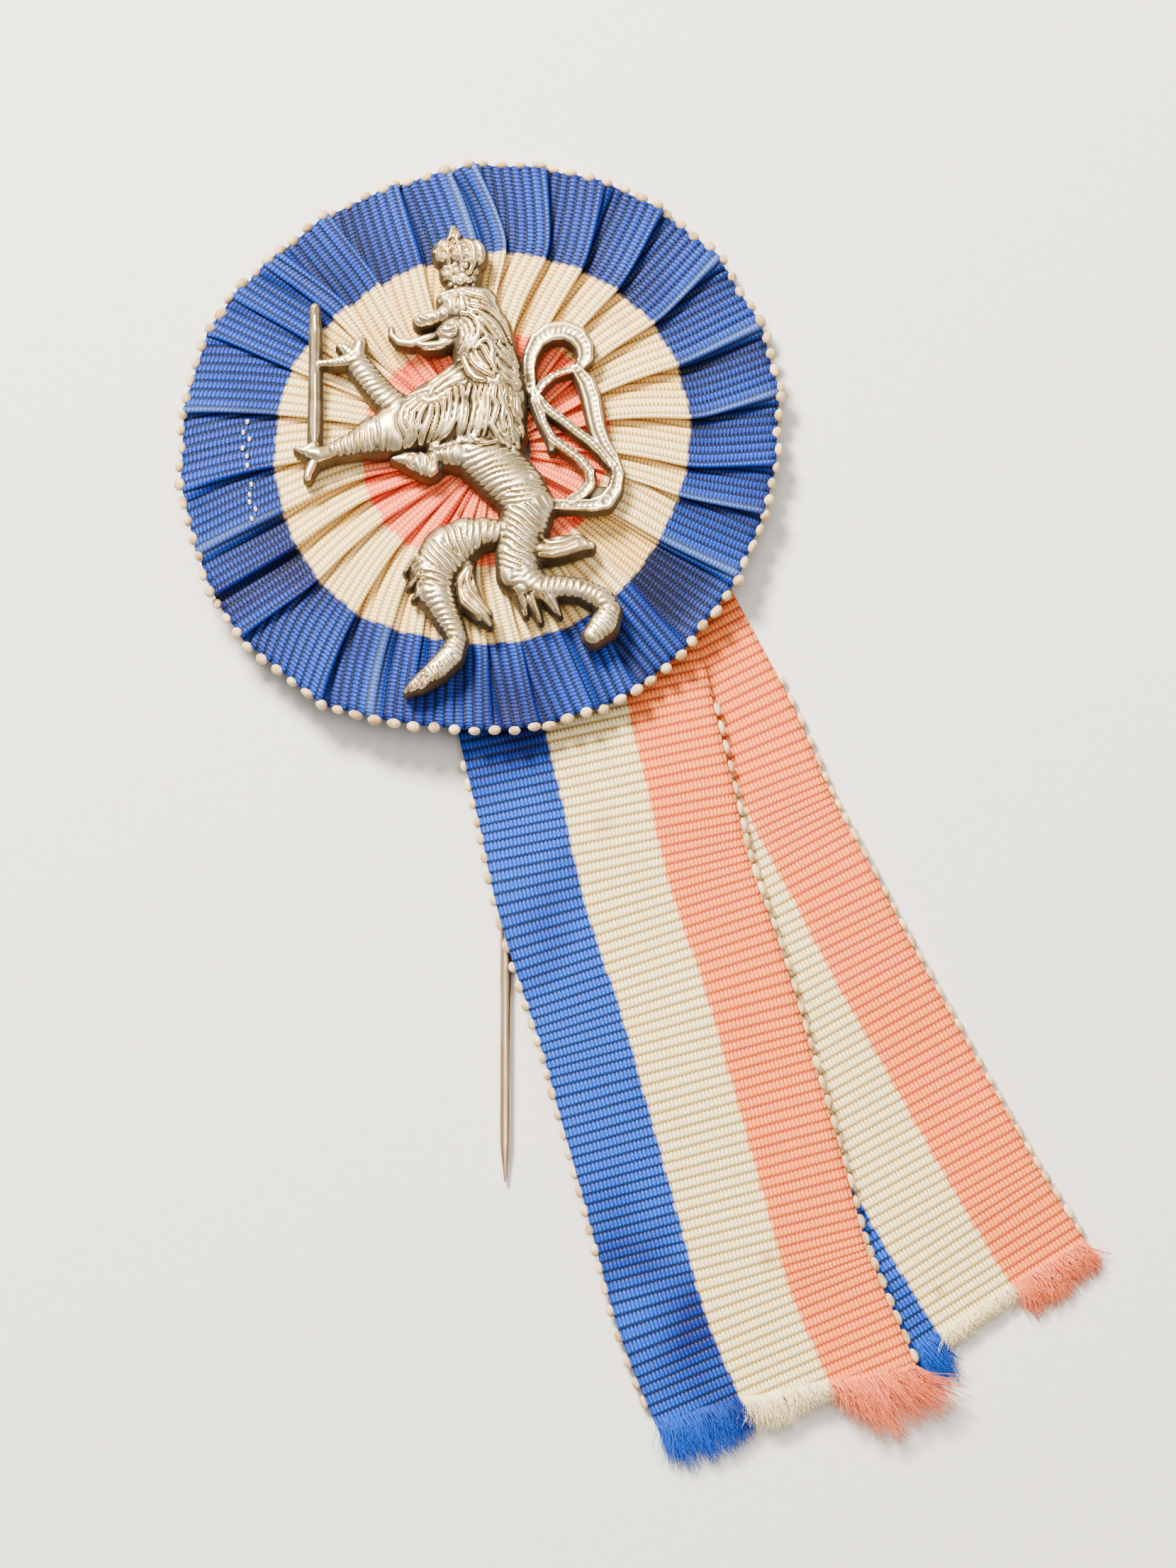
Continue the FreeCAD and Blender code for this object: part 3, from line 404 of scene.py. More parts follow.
# Rings cast across a limb: pitch, depth, slant.
RINGS = {
    "fore leg": (0.62, 0.17, 0.25), "raised leg": (0.62, 0.15, 0.2), "trunk": (0.66, 0.15, 0.45),
    "left thigh": (0.64, 0.16, 0.3), "left shin": (0.6, 0.15, 0.2), "left foot": (0.45, 0.11, 0.1),
    "right knee": (0.62, 0.16, 0.2), "right foot": (0.45, 0.11, 0.1), "belly": (0.64, 0.13, 0.3),
    "raised toe 1": (0.45, 0.08, 0.0), "raised toe 3": (0.45, 0.08, 0.0),
}
RING_DEPTH = 1.9          # times the depth in the table
TAIL_BORDER = (0.16, 0.68, 0.22)   # rise, then middle and width over the half width
TAIL_GROOVE = (0.24, 0.1, 0.22)    # depth, then the same
TAIL_NOTCH = 0.55         # from one notch of the groove to the next
STRAND_RISE = 1.25        # times the rise in the table
STRAND_HOLLOW = 0.36      # how deep the casting sinks between strands
RELIEF_CELL = 0.12        # spacing of the lion's points
SNAP = 0.62 * RELIEF_CELL # points nearer to the outline are moved onto it
EDGE_ROUND = 0.25         # width over which the face falls to the edge
EDGE_LOW, DOME_LOW = 0.85, 0.8   # least height at the outline and on a limb, over EDGE
RELIEF_LOW = 0.6          # least height anywhere
LIMB_JOIN = 0.12          # height over which one limb runs into the next
LION_SHARP, WIRE_SHARP = 50, 40   # degrees from which an edge stays sharp
LION_CORNER = (-19.0, -26.2)
LION_SPAN = (34.2, 50.2)
SOCKET_SIDES, WIRE_SIDES = 32, 24


def between(a, b, share):
    return a + (b - a) * share


def metres(points):
    return (np.asarray(points, float) + CENTRE) / 1000


def base_height(y):
    return BASE_AT_CENTRE - BASE_FALL * y


def unit(vectors):
    return vectors / np.maximum(np.linalg.norm(vectors, axis=-1, keepdims=True), 1e-9)


def round_section(ratio):
    """Height of a half round, 1 in the middle and 0 from ratio 1."""
    return np.sqrt(np.clip(1 - ratio ** 2, 0, 1))


def bell(values, middle, width):
    return np.exp(-((values - middle) / width) ** 2)


def travel(points):
    """Distance along a line of points, from its first."""
    return np.concatenate([[0], np.cumsum(np.linalg.norm(np.diff(points, axis=0), axis=1))])


# Meshes

def make_active(piece):
    bpy.ops.object.select_all(action="DESELECT")
    piece.select_set(True)
    bpy.context.view_layer.objects.active = piece


def on_all(piece, step, **settings):
    """Runs one edit-mode step on the whole piece."""
    make_active(piece)
    bpy.ops.object.mode_set(mode="EDIT")
    bpy.ops.mesh.select_all(action="SELECT")
    step(**settings)
    bpy.ops.object.mode_set(mode="OBJECT")


def outward_faces(piece):
    on_all(piece, bpy.ops.mesh.normals_make_consistent, inside=False)


def read(items, name, count, kind=float):
    values = np.empty(count, dtype=kind)
    items.foreach_get(name, values)
    return values


def corner_points(mesh):
    """The point at each corner of each face."""
    return read(mesh.loops, "vertex_index", len(mesh.loops), np.int32)


def grid_piece(name, wide, high):
    """A flat grid one unit across, with the column and row of each of its points."""
    bpy.ops.object.select_all(action="DESELECT")
    bpy.ops.mesh.primitive_grid_add(x_subdivisions=wide, y_subdivisions=high, size=1)
    piece = bpy.context.object
    piece.name = piece.data.name = name
    flat = read(piece.data.vertices, "co", len(piece.data.vertices) * 3).reshape(-1, 3)
    column, row = (np.rint((flat[:, k] + 0.5) * count).astype(int) for k, count in ((0, wide), (1, high)))
    return piece, column, row


def move_points(piece, places):
    piece.data.vertices.foreach_set("co", np.ascontiguousarray(places, dtype=np.float64).ravel())
    piece.data.update()


def set_weave(piece, wide, high, first=0.0):
    """Makes the grid's map read ribs along the ribbon and millimetres across it."""
    layer = piece.data.uv_layers.active
    layer.name = "Weave"
    values = read(layer.data, "uv", len(piece.data.loops) * 2).reshape(-1, 2) * (wide, high) + (first, 0.0)
    layer.data.foreach_set("uv", values.ravel())


def set_value(piece, name, values):
    layer = piece.data.attributes.new(name, "FLOAT", "POINT")
    layer.data.foreach_set("value", np.asarray(values, dtype=np.float32).ravel())


def smooth(piece, sharp_from=None):
    piece.data.polygons.foreach_set("use_smooth", np.ones(len(piece.data.polygons), bool))
    piece.data.update()
    if sharp_from:
        make_active(piece)
        bpy.ops.object.shade_smooth_by_angle(angle=math.radians(sharp_from))


def delete_faces(piece, gone):
    """Deletes every face that has one of these points."""
    marked = gone[corner_points(piece.data).reshape(-1, 4)].any(1)
    make_active(piece)
    bpy.ops.object.mode_set(mode="EDIT")
    bpy.ops.mesh.select_mode(type="FACE")
    bpy.ops.mesh.select_all(action="DESELECT")
    bpy.ops.object.mode_set(mode="OBJECT")
    piece.data.polygons.foreach_set("select", marked)
    bpy.ops.object.mode_set(mode="EDIT")
    bpy.ops.mesh.delete(type="FACE")
    bpy.ops.mesh.select_mode(type="VERT")
    bpy.ops.object.mode_set(mode="OBJECT")


def thicken(piece, thickness):
    make_active(piece)
    wall = piece.modifiers.new("thickness", "SOLIDIFY")
    wall.thickness = thickness / 1000
    wall.offset = -1
    bpy.ops.object.modifier_apply(modifier=wall.name)
    smooth(piece)


def from_arrays(name, points, faces, finish, weave=None):
    mesh = bpy.data.meshes.new(name)
    mesh.from_pydata(metres(points).tolist(), [], faces)
    mesh.materials.append(finish)
    piece = bpy.data.objects.new(name, mesh)
    bpy.context.scene.collection.objects.link(piece)
    if weave is not None:
        layer = mesh.uv_layers.new(name="Weave")
        layer.data.foreach_set("uv", np.asarray(weave)[corner_points(mesh)].ravel())
    smooth(piece)
    return piece


def tube_faces(rings, sides):
    """The faces from each ring of points to the next."""
    pairs = [(start + k, start + (k + 1) % sides) for start in rings for k in range(sides)]
    return [(a, b, b + sides, a + sides) for a, b in pairs]


def wires(paths, radii, sides, reference):
    """Points and faces of round wires along paths of equally many points."""
    many, long = paths.shape[:2]
    heading = unit(np.gradient(paths, axis=1))
    aside = unit(np.cross(heading, reference))
    above = np.cross(aside, heading)
    turn = np.arange(sides) * 2 * math.pi / sides
    ring = np.cos(turn)[:, None] * aside[:, :, None, :] + np.sin(turn)[:, None] * above[:, :, None, :]
    points = paths[:, :, None, :] + ring * radii[:, :, None, None]
    faces = []
    for start in range(0, many * long * sides, long * sides):
        last = start + (long - 1) * sides
        faces += tube_faces(range(start, last, sides), sides)
        faces += [tuple(reversed(range(start, start + sides))), tuple(range(last, last + sides))]
    return points.reshape(-1, 3), faces


def oval(segments, rings):
    """Points and faces of a plump oval, 1 across."""
    bpy.ops.object.select_all(action="DESELECT")
    bpy.ops.mesh.primitive_uv_sphere_add(segments=segments, ring_count=rings, radius=0.5)
    piece = bpy.context.object
    points = np.array([vertex.co[:] for vertex in piece.data.vertices])
    faces = [tuple(face.vertices) for face in piece.data.polygons]
    bpy.data.objects.remove(piece)
    return points, faces


def copies(name, template, centres, along, outward, sizes, finish):
    """One small shape repeated: its x runs along the edge, its y outward, its z up."""
    points, faces = template
    up = np.cross(along, outward)
    every = centres[:, None]
    for k, way in enumerate((along, outward, up)):
        every = every + points[None, :, k:k + 1] * sizes[:, None, k:k + 1] * way[:, None]
    count = len(points)
    repeated = [tuple(corner + i * count for corner in face) for i in range(len(centres)) for face in faces]
    return from_arrays(name, every.reshape(-1, 3), repeated, finish)


# Rosette

def rib_profile(ribs):
    """A rib's rounded section, 0 in the groove and 1 on its crest."""
    return round_section(2 * (ribs - np.floor(ribs)) - 1)


def crest_lines(share):
    """x, y and height of every pleat's crest and which way it leans, at a share of the way in."""
    table = np.array(FOLDS)
    bearing = np.array([np.interp(share, STATIONS, row[:3]) for row in table])
    right = (table[:, 0] < LEAN_TURNS[0]) | (table[:, 0] > LEAN_TURNS[1])
    bearing = np.radians(bearing + right * np.interp(share, STATIONS, CREST_LEAD))
    radius = between(table[:, 4] - RIM_INSET, HOLE_RADIUS, share)
    x = radius * np.cos(bearing) + HOLE_X * share ** 2
    y = radius * np.sin(bearing)
    rise = between(RISE_RIM, RISE_FULL, min(1.0, share * 2))
    return x, y, base_height(y) + WALL + rise - RIB_HEIGHT, np.where(right, 1, -1)


def rib_counts():
    """Whole ribs in each pleat, more in a deep one, RIBS in all."""
    chords = []
    for share in (0.0, 1 / 3):
        x, y = crest_lines(share)[:2]
        chords.append(np.hypot(np.roll(x, -1) - x, np.roll(y, -1) - y))
    wanted = np.maximum(chords[0], chords[1] * 1.05) * (1 + 0.1 * np.array(FOLDS)[:, 3])
    wanted *= RIBS / wanted.sum()
    counts = np.floor(wanted).astype(int)
    for i in np.argsort(counts - wanted)[:RIBS - counts.sum()]:
        counts[i] += 1
    return counts


def distance_to_line(line, x, y):
    nearest = 99.0
    for a, b in zip(line, line[1:]):
        dx, dy = b[0] - a[0], b[1] - a[1]
        share = max(0.0, min(1.0, ((x - a[0]) * dx + (y - a[1]) * dy) / (dx * dx + dy * dy)))
        nearest = min(nearest, math.hypot(x - a[0] - share * dx, y - a[1] - share * dy))
    return nearest


def support(x, y):
    """Height of what the rosette lies on."""
    for line, height in SUPPORTS:
        if distance_to_line(line, x, y) < SUPPORT_REACH:
            return height
    return FLOOR_UNDER


def halved(measure, target, low, high):
    """Where an increasing measure meets its target, by halving."""
    for _ in range(24):
        middle = (low + high) / 2
        low, high = (middle, high) if measure(middle) < target else (low, middle)
    return low


def tuck(chord, length, drop):
    """How deep a pleat falls to take up its length, and how far its bottom lies past the next crest."""
    def reach(under, down):
        return math.hypot(chord + under, down) + math.hypot(under, down)

    least = -STEEP_SHARE * chord
    if reach(least, drop) > length:
        return halved(lambda down: reach(least, down), length, 0.0, drop), least
    return drop, halved(lambda under: reach(under, drop), length, least, MOST_TUCK)


def pleat_path(start, end, length, drop, leans):
    """The pleat's section from one crest to the next."""
    flat = (end - start)[:2]
    chord = math.hypot(*flat)
    ahead = flat / chord

    def corner(at, down):
        height = between(start[2], end[2], min(1.0, max(0.0, at / chord))) - down
        return np.array([*(start[:2] + ahead * at), height])

    if leans[0] == leans[1]:
        down, under = tuck(chord, length, drop)
        return [start, corner(chord + under if leans[0] == 1 else -under, down), end]
    if leans == (1, -1):
        down = min(drop, math.sqrt(max(0.0, length ** 2 - chord ** 2)) / 2)
        return [start, corner(chord / 2, down), end]
    side = max(0.0, (length - BOTTOM_SHARE * chord) / 2)
    down = min(drop, math.sqrt(max(0.0, side ** 2 - (BOTTOM_FROM * chord) ** 2)))
    return [start, corner(BOTTOM_FROM * chord, down), corner(BOTTOM_TO * chord, down), end]


def even_points(path, count):
    path = np.array(path)
    travelled = travel(path)
    at = np.linspace(0, travelled[-1], count, endpoint=False)
    return np.stack([np.interp(at, travelled, path[:, k]) for k in range(3)], axis=1)


def ruffle_row(share, counts):
    """One row of points right round the ring, at a share of the way in."""
    x, y, height, lean = crest_lines(share)
    crests = np.stack([x, y, height], axis=1)
    full = np.interp(share, DROP_PLACES, DROPS)
    row = []
    for i, count in enumerate(counts):
        following = (i + 1) % len(crests)
        start, end = crests[i], crests[following]
        room = min(start[2], end[2]) - support(*((start + end) / 2)[:2]) - ROOM_BELOW
        drop = max(0.1, min(room, full * (0.3 + 0.7 * FOLDS[i][3])))
        path = pleat_path(start, end, count * PITCH, drop, (lean[i], lean[following]))
        row.append(even_points(path, count * SAMPLES))
    return np.concatenate(row)


def rounded_folds(sheet):
    """Rounds the folds over about a millimetre, and the rows a little."""
    weights = np.array([1, 2, 3, 4, 3, 2, 1]) / 16
    sheet = sum(weight * np.roll(sheet, k - 3, axis=1) for k, weight in enumerate(weights))
    for _ in range(4):
        sheet[1:-1] = (sheet[:-2] + 2 * sheet[1:-1] + sheet[2:]) / 4
    return sheet


def per_rib(values):
    """One value for each rib, spread over its points."""
    return np.roll(np.repeat(values, SAMPLES), SAMPLES // 2)


def ruffle_sheet():
    """The gathered ribbon's upper face as rows of points, its crests' wear and how deep each place lies in a fold,
    which sets how much painted shade it gets.
    """
    counts = rib_counts()
    rng = np.random.default_rng(5)
    sheet = rounded_folds(np.stack([ruffle_row(i / ROWS, counts) for i in range(ROWS + 1)]))
    lift = sheet[:, :, 2] - base_height(sheet[:, :, 1])
    top = np.max([np.roll(lift, k, axis=1) for k in range(-6 * SAMPLES, 6 * SAMPLES + 1, 3)], axis=0)
    # Painted shade: how far a place lies below the crests around it sets how dark its colour is painted.
    sunk = np.clip((top - lift) / FOLD_DEPTH, 0, 1) ** 1.1
    around = np.roll(sheet, -1, axis=1) - np.roll(sheet, 1, axis=1)
    normal = unit(np.cross(around, np.gradient(sheet, axis=0)))
    ribs = np.arange(RIBS * SAMPLES) / SAMPLES + 0.5
    cords = per_rib(rng.uniform(0.85, 1.08, RIBS))
    sheet = sheet + normal * (rib_profile(ribs) * cords * RIB_HEIGHT)[None, :, None]
    rim = per_rib(rng.normal(0, 0.05, RIBS))
    sheet[0, :, :2] *= 1 + rim[:, None] / 30
    return sheet, crest_wear(counts), sunk


def crest_wear(counts):
    """How far the dye is worn along each crest, from 0 to 1."""
    wear = np.zeros((ROWS + 1, RIBS * SAMPLES))
    firsts = np.concatenate([[0], np.cumsum(counts)[:-1]]) * SAMPLES
    x, y = crest_lines(0.0)[:2]
    bearings = np.degrees(np.arctan2(y, x)) % 360
    columns = np.arange(RIBS * SAMPLES)
    rows = np.arange(ROWS + 1)[:, None] / ROWS
    for first, bearing in zip(firsts, bearings):
        pale = min(abs((bearing - worn + 180) % 360 - 180) for worn in WORN_CRESTS) < 5
        away = np.abs((columns - first + len(columns) / 2) % len(columns) - len(columns) / 2)
        strength = (1.0 if pale else 0.12) * np.interp(rows, (0, 0.3, 0.45, 1), (1, 0.9, 0.3, 0.1))
        wear = np.maximum(wear, strength * bell(away, 0, 3.4))
    return wear


def make_ruffle(finish):
    sheet, wear, sunk = ruffle_sheet()
    wide = RIBS * SAMPLES
    piece, column, row = grid_piece("ruffle_ribbon", wide, ROWS)
    column %= wide
    set_weave(piece, RIBS, RIBBON_WIDTH, 0.5)
    move_points(piece, metres(sheet[row, column]))
    set_value(piece, "worn", wear[row, column])
    # The painted shade in the folds, kept on the points for the finish.
    set_value(piece, "fold_shade", sunk[row, column])
    on_all(piece, bpy.ops.mesh.remove_doubles, threshold=1e-7)
    thicken(piece, RUFFLE_THICKNESS)
    piece.data.materials.append(finish)
    return piece, sheet


def make_rim_loops(sheet, finish):
    """A picot at every second rib of the outer selvage: a small loop of thread drawn shut into a plump oval."""
    at = np.arange(SAMPLES // 2, RIBS * SAMPLES, 2 * SAMPLES)
    rim = sheet[0]
    along = unit(np.roll(rim, -4, axis=0)[at] - np.roll(rim, 4, axis=0)[at])
    outward = unit(rim[at] - sheet[2][at])
    outward = unit(outward - (outward * along).sum(1, keepdims=True) * along)
    rng = np.random.default_rng(8)
    sizes = [rng.uniform(*RIM_LOOP_LONG, len(at)), rng.uniform(*RIM_LOOP_OUT, len(at)), np.full(len(at), RIM_LOOP_HIGH)]
    centres = rim[at] + outward * rng.uniform(0.0, RIM_LOOP_STRAY, len(at))[:, None]
    return copies("ruffle_picots", oval(*LOOP_POINTS), centres, along, outward, np.stack(sizes, axis=1), finish)


def make_stitches(sheet, finish):
    """The run of hand stitches that shows on the left of the blue stripe."""
    bearings = np.radians(STITCH_BEARINGS)
    outward = np.stack([np.cos(bearings), np.sin(bearings), 0 * bearings], axis=1)
    along = np.stack([-outward[:, 1], outward[:, 0], 0 * bearings], axis=1)
    centres = (STITCH_RADIUS + STITCH_STRAY * np.sin(bearings * 97))[:, None] * outward
    flat = sheet.reshape(-1, 3)
    for centre in centres:
        near = flat[np.hypot(*(flat[:, :2] - centre[:2]).T) < 0.6]
        centre[2] = near[:, 2].max() + 0.05
    sizes = np.tile(STITCH_SIZE, (len(centres), 1))
    return copies("ruffle_stitches", oval(*STITCH_POINTS), centres, along, outward, sizes, finish)


# Tails

def smooth_line(line):
    """A tail's middle line and edge heights through its stations, against the distance along it."""
    rows = np.array(line)
    ends = np.vstack([2 * rows[0] - rows[1], rows, 2 * rows[-1] - rows[-2]])
    share = np.linspace(0, 1, LINE_STEPS, endpoint=False)[:, None]
    parts = []
    for a, b, c, d in zip(ends, ends[1:], ends[2:], ends[3:]):
        parts.append(0.5 * (2 * b + (c - a) * share + (2 * a - 5 * b + 4 * c - d) * share ** 2
                            + (3 * b - a - 3 * c + d) * share ** 3))
    heading = unit(rows[-1, :2] - rows[-2, :2])
    beyond = np.array([*(rows[-1, :2] + heading * LINE_PAST_END), *rows[-1, 2:]])
    points = np.vstack(parts + [rows[-1:], beyond[None]])
    return points, travel(points[:, :2])


def tail_places(line, along, across):
    """Places on a tail's underside as the CAD has it."""
    points, travelled = smooth_line(line)
    x, y, left, right = (np.interp(along, travelled, points[:, k]) for k in range(4))
    slope = [np.interp(along, travelled, np.gradient(points[:, k], travelled)) for k in range(2)]
    length = np.hypot(*slope)
    aside_x, aside_y = -slope[1] / length, slope[0] / length
    height = between(left, right, (across + HALF_WIDTH) / RIBBON_WIDTH)
    return np.stack([x + aside_x * across, y + aside_y * across, height], axis=-1)


def tail_length(line):
    return smooth_line(line)[1][-2]


def make_tail(name, line, fray, corner_cut, finish):
    end = tail_length(line)
    wide = int((end + TAIL_SPARE) / PITCH * SAMPLES)
    piece, column, row = grid_piece(name, wide, TAIL_ROWS)
    set_weave(piece, wide / SAMPLES, RIBBON_WIDTH)
    along, across = column / SAMPLES * PITCH, (row / TAIL_ROWS - 0.5) * RIBBON_WIDTH
    places = tail_places(line, along, across)
    ripple = 0.05 * np.sin(along / 3.3 + across * 0.15) + 0.03 * np.sin(along / 1.9 - across * 0.4)
    places[:, 2] += TAIL_FACE - TAIL_RIB_HEIGHT + TAIL_RIB_HEIGHT * rib_profile(column / SAMPLES) + ripple
    move_points(piece, metres(places))
    woven = np.interp(across, ACROSS, [lock[0] for lock in fray])
    reach = np.clip(-HALF_WIDTH + BACK_CORNER_REACH - across, 0, None) / BACK_CORNER_REACH
    delete_faces(piece, (along > end + woven) | (along < corner_cut * reach))
    thicken(piece, TAIL_THICKNESS)
    piece.data.materials.append(finish)
    return piece


def make_fray(name, line, fray, seed, finish):
    """Loose warp threads past the last rib."""
    rng = np.random.default_rng(seed)
    count = FRAY_THREADS

    def each(low, high):
        return rng.uniform(low, high, count)[:, None]

    across = each(-FRAY_REACH, FRAY_REACH)[:, 0]
    woven, lock, lean = (np.interp(across, ACROSS, [row[k] for row in fray]) for k in range(3))
    step = np.linspace(0, 1, FRAY_STEPS)
    reach = lock[:, None] * each(0.45, 1.0)
    along = tail_length(line) + (woven - FRAY_ROOT)[:, None] + (reach + FRAY_ROOT) * step
    sway = rng.normal(0, 0.6, count)[:, None] * step ** 2
    sway += each(0.1, 0.45) * np.sin(step * each(2, 10)) * step
    aside = across[:, None] + lean[:, None] * each(0.6, 1.2) * step ** 1.5 + sway
    paths = tail_places(line, along, aside)
    paths[:, :, 2] += 0.55 + each(-0.17, 0.2) + each(-0.6, 0.9) * np.sin(step * 2.6)
    paths[:, :, 2] = np.maximum(paths[:, :, 2], FRAY_LOWEST)
    radii = each(0.035, 0.06) * np.linspace(1, 0.35, FRAY_STEPS)
    points, faces = wires(paths, radii, FRAY_SIDES, np.array([0.0, 0.0, 1.0]))
    weave = np.stack([np.full(len(points), 0.5), np.repeat(across + HALF_WIDTH, FRAY_STEPS * FRAY_SIDES)], axis=1)
    piece = from_arrays(name, points, faces, finish, weave)
    outward_faces(piece)
    return piece


def make_selvage(name, line, fray, start, finish):
    """The loops along both edges of a tail, at every second rib."""
    rng = np.random.default_rng(len(name))
    parts = []
    for side, end in ((-1, 0), (1, -1)):
        at = np.arange(start, tail_length(line) + fray[end][0] - 0.6, 2 * PITCH)
        centres = tail_places(line, at, side * TAIL_LOOP_PLACE)
        behind, ahead = (tail_places(line, at + step, side * HALF_WIDTH) for step in (-0.3, 0.3))
        outward = unit((centres - tail_places(line, at, side * 11.5)) * (1, 1, 0))
        centres[:, 2] += TAIL_LOOP_RISE
        sizes = [TAIL_LOOP_LONG[side] * rng.uniform(0.85, 1.1, len(at)), rng.uniform(*TAIL_LOOP_OUT, len(at)),
                 np.full(len(at), TAIL_LOOP_HIGH)]
        parts.append((centres, side * unit(ahead - behind), outward, np.stack(sizes, axis=1)))
    piece = copies(name, oval(*LOOP_POINTS), *(np.concatenate(part) for part in zip(*parts)), finish)
    outward_faces(piece)
    return piece


# Lion

def near_stroke(x, y, rows, reach):
    """For every place: distance from the stroke's middle line over half width, crest, travel, side, way outside."""
    ratio = np.full(x.shape, 9.0)
    crest, along, side = np.zeros(x.shape), np.zeros(x.shape), np.zeros(x.shape)
    outside = np.full(x.shape, 99.0)
    travelled = 0.0
    for a, b in zip(rows, rows[1:]):
        dx, dy = b[0] - a[0], b[1] - a[1]
        length = math.hypot(dx, dy)
        widest = max(a[2], b[2]) * reach + 0.4
        columns = slice(*np.searchsorted(x[0], (min(a[0], b[0]) - widest, max(a[0], b[0]) + widest)))
        lines = slice(*np.searchsorted(y[:, 0], (min(a[1], b[1]) - widest, max(a[1], b[1]) + widest)))
        here = (lines, columns)
        px, py = x[here] - a[0], y[here] - a[1]
        share = np.clip((px * dx + py * dy) / length ** 2, 0, 1)
        away = np.hypot(px - share * dx, py - share * dy)
        half = between(a[2], b[2], share)
        better = away / half < ratio[here]
        ratio[here] = np.where(better, away / half, ratio[here])
        crest[here] = np.where(better, between(a[3], b[3], share), crest[here])
        along[here] = np.where(better, travelled + share * length, along[here])
        side[here] = np.where(better, (px * dy - py * dx) / length, side[here])
        outside[here] = np.minimum(outside[here], away - half)
        travelled += length
    return ratio, crest, along, side, outside


def smooth_max(a, b, width):
    return np.maximum(a, b) + width / 4 * np.clip(1 - np.abs(a - b) / width, 0, None) ** 2


def limb_detail(name, ratio, along, side):
    """Cast detail on one limb: rings of fur, or the tail's border and notched middle groove."""
    if name in RINGS:
        pitch, depth, slant = RINGS[name]
        wobble = 0.08 * np.sin(along * 1.7 + side * 1.1) + 0.05 * np.sin(along * 0.9 - side * 2.3)
        ring = np.abs(np.sin(math.pi * (along + slant * side + wobble) / pitch)) ** 0.5
        return RING_DEPTH * depth * (ring - 0.8) * np.clip(round_section(ratio) * 1.6, 0, 1)
    if name.startswith("tail") and name not in ("tail web", "tail lobe"):
        notch = 0.85 + 0.15 * np.cos(along * 2 * math.pi / TAIL_NOTCH + side * 2)
        return TAIL_BORDER[0] * bell(ratio, *TAIL_BORDER[1:]) - TAIL_GROOVE[0] * notch * bell(ratio, *TAIL_GROOVE[1:])
    return 0.0


def add_strands(x, y, height):
    """Locks of mane, brow, jaw and leaf as raised strands with hollows between them."""
    raised, cover = np.zeros(x.shape), np.zeros(x.shape)
    for half, rise, *path in (np.array(strand) / 100 for group in STRANDS.values() for strand in group):
        path = list(zip(path[::2], path[1::2]))
        middle = (len(path) - 1) / 2
        taper = [1.15 - 0.35 * (abs(k - middle) / middle) ** 2 for k in range(len(path))]
        rows = [(px, py, half * share, rise) for (px, py), share in zip(path, taper)]
        ratio = near_stroke(x, y, rows, 2.5)[0]
        raised = np.maximum(raised, rise * round_section(ratio))
        cover = np.maximum(cover, bell(ratio, 0, 1.7) * min(1.0, rise / 0.4))
    return height + STRAND_RISE * raised - STRAND_HOLLOW * cover


def add_beads(x, y, height):
    """The crown's rows of pearls, each with a groove round it."""
    for bead_x, bead_y, radius in (np.array(bead) / 100 for row in BEADS.values() for bead in row):
        away = np.hypot(x - bead_x, y - bead_y) / (radius * 1.1)
        height = height + 0.3 * round_section(away) - 0.1 * bell(away, 1.1, 0.3)
    return height


def blurred(field, mask, reach):
    """Mean of the masked field over a square that reaches this many points each way, twice."""
    long = 2 * reach + 1

    def summed(values):
        for axis in (0, 1):
            room = [(reach + 1, reach) if k == axis else (0, 0) for k in (0, 1)]
            run = np.cumsum(np.pad(values, room, mode="constant"), axis=axis)
            count = run.shape[axis]
            values = np.take(run, range(long, count), axis) - np.take(run, range(count - long), axis)
        return values

    weight = summed(mask.astype(float))
    for _ in range(2):
        field = np.where(weight > 0, summed(field * mask) / np.maximum(weight, 1e-9), field)
    return field


def lion_relief(x, y):
    """Height of the lion's face and distance outside its outline."""
    outside = np.full(x.shape, 99.0)
    height = np.full(x.shape, EDGE)
    for name, rows in LION.items():
        ratio, crest, along, side, past = near_stroke(x, y, rows, 1.0)
        outside = np.minimum(outside, past)
        section = 1 - ratio if name == "blade" else round_section(ratio)
        dome = EDGE + (crest - EDGE) * section + limb_detail(name, ratio, along, side)
        height = np.where(ratio < 1, smooth_max(height, np.maximum(dome, EDGE * DOME_LOW), LIMB_JOIN), height)
    height = add_beads(x, y, add_strands(x, y, height))
    edge = np.clip(-outside / EDGE_ROUND, 0, 1)
    return np.maximum(between(EDGE * EDGE_LOW, height, np.sqrt(edge)), RELIEF_LOW), outside


def lion_placed(points):
    """Turns the lion to the rosette's slope and seats it."""
    tilt = -math.atan(BASE_FALL)
    x, y, z = points.T
    seat = base_height(0) + WALL + RISE_FULL + SEAT
    lifted = y * math.sin(tilt) + z * math.cos(tilt) + seat
    return np.stack([x, y * math.cos(tilt) - z * math.sin(tilt), lifted], axis=1)


def extrude_to_relief(piece, name):
    """Extrudes the flat outline upward and gives its points with the top at the height kept in the named value."""
    on_all(piece, bpy.ops.mesh.extrude_region_move, TRANSFORM_OT_translate={"value": (0, 0, 0.001)})
    points, count = piece.data.vertices, len(piece.data.vertices)
    top = read(points, "select", count, bool)
    places = read(points, "co", count * 3).reshape(-1, 3)
    height = read(piece.data.attributes[name].data, "value", count, np.float32)
    places[:, 2] = np.where(top, height, 0.0)
    return places


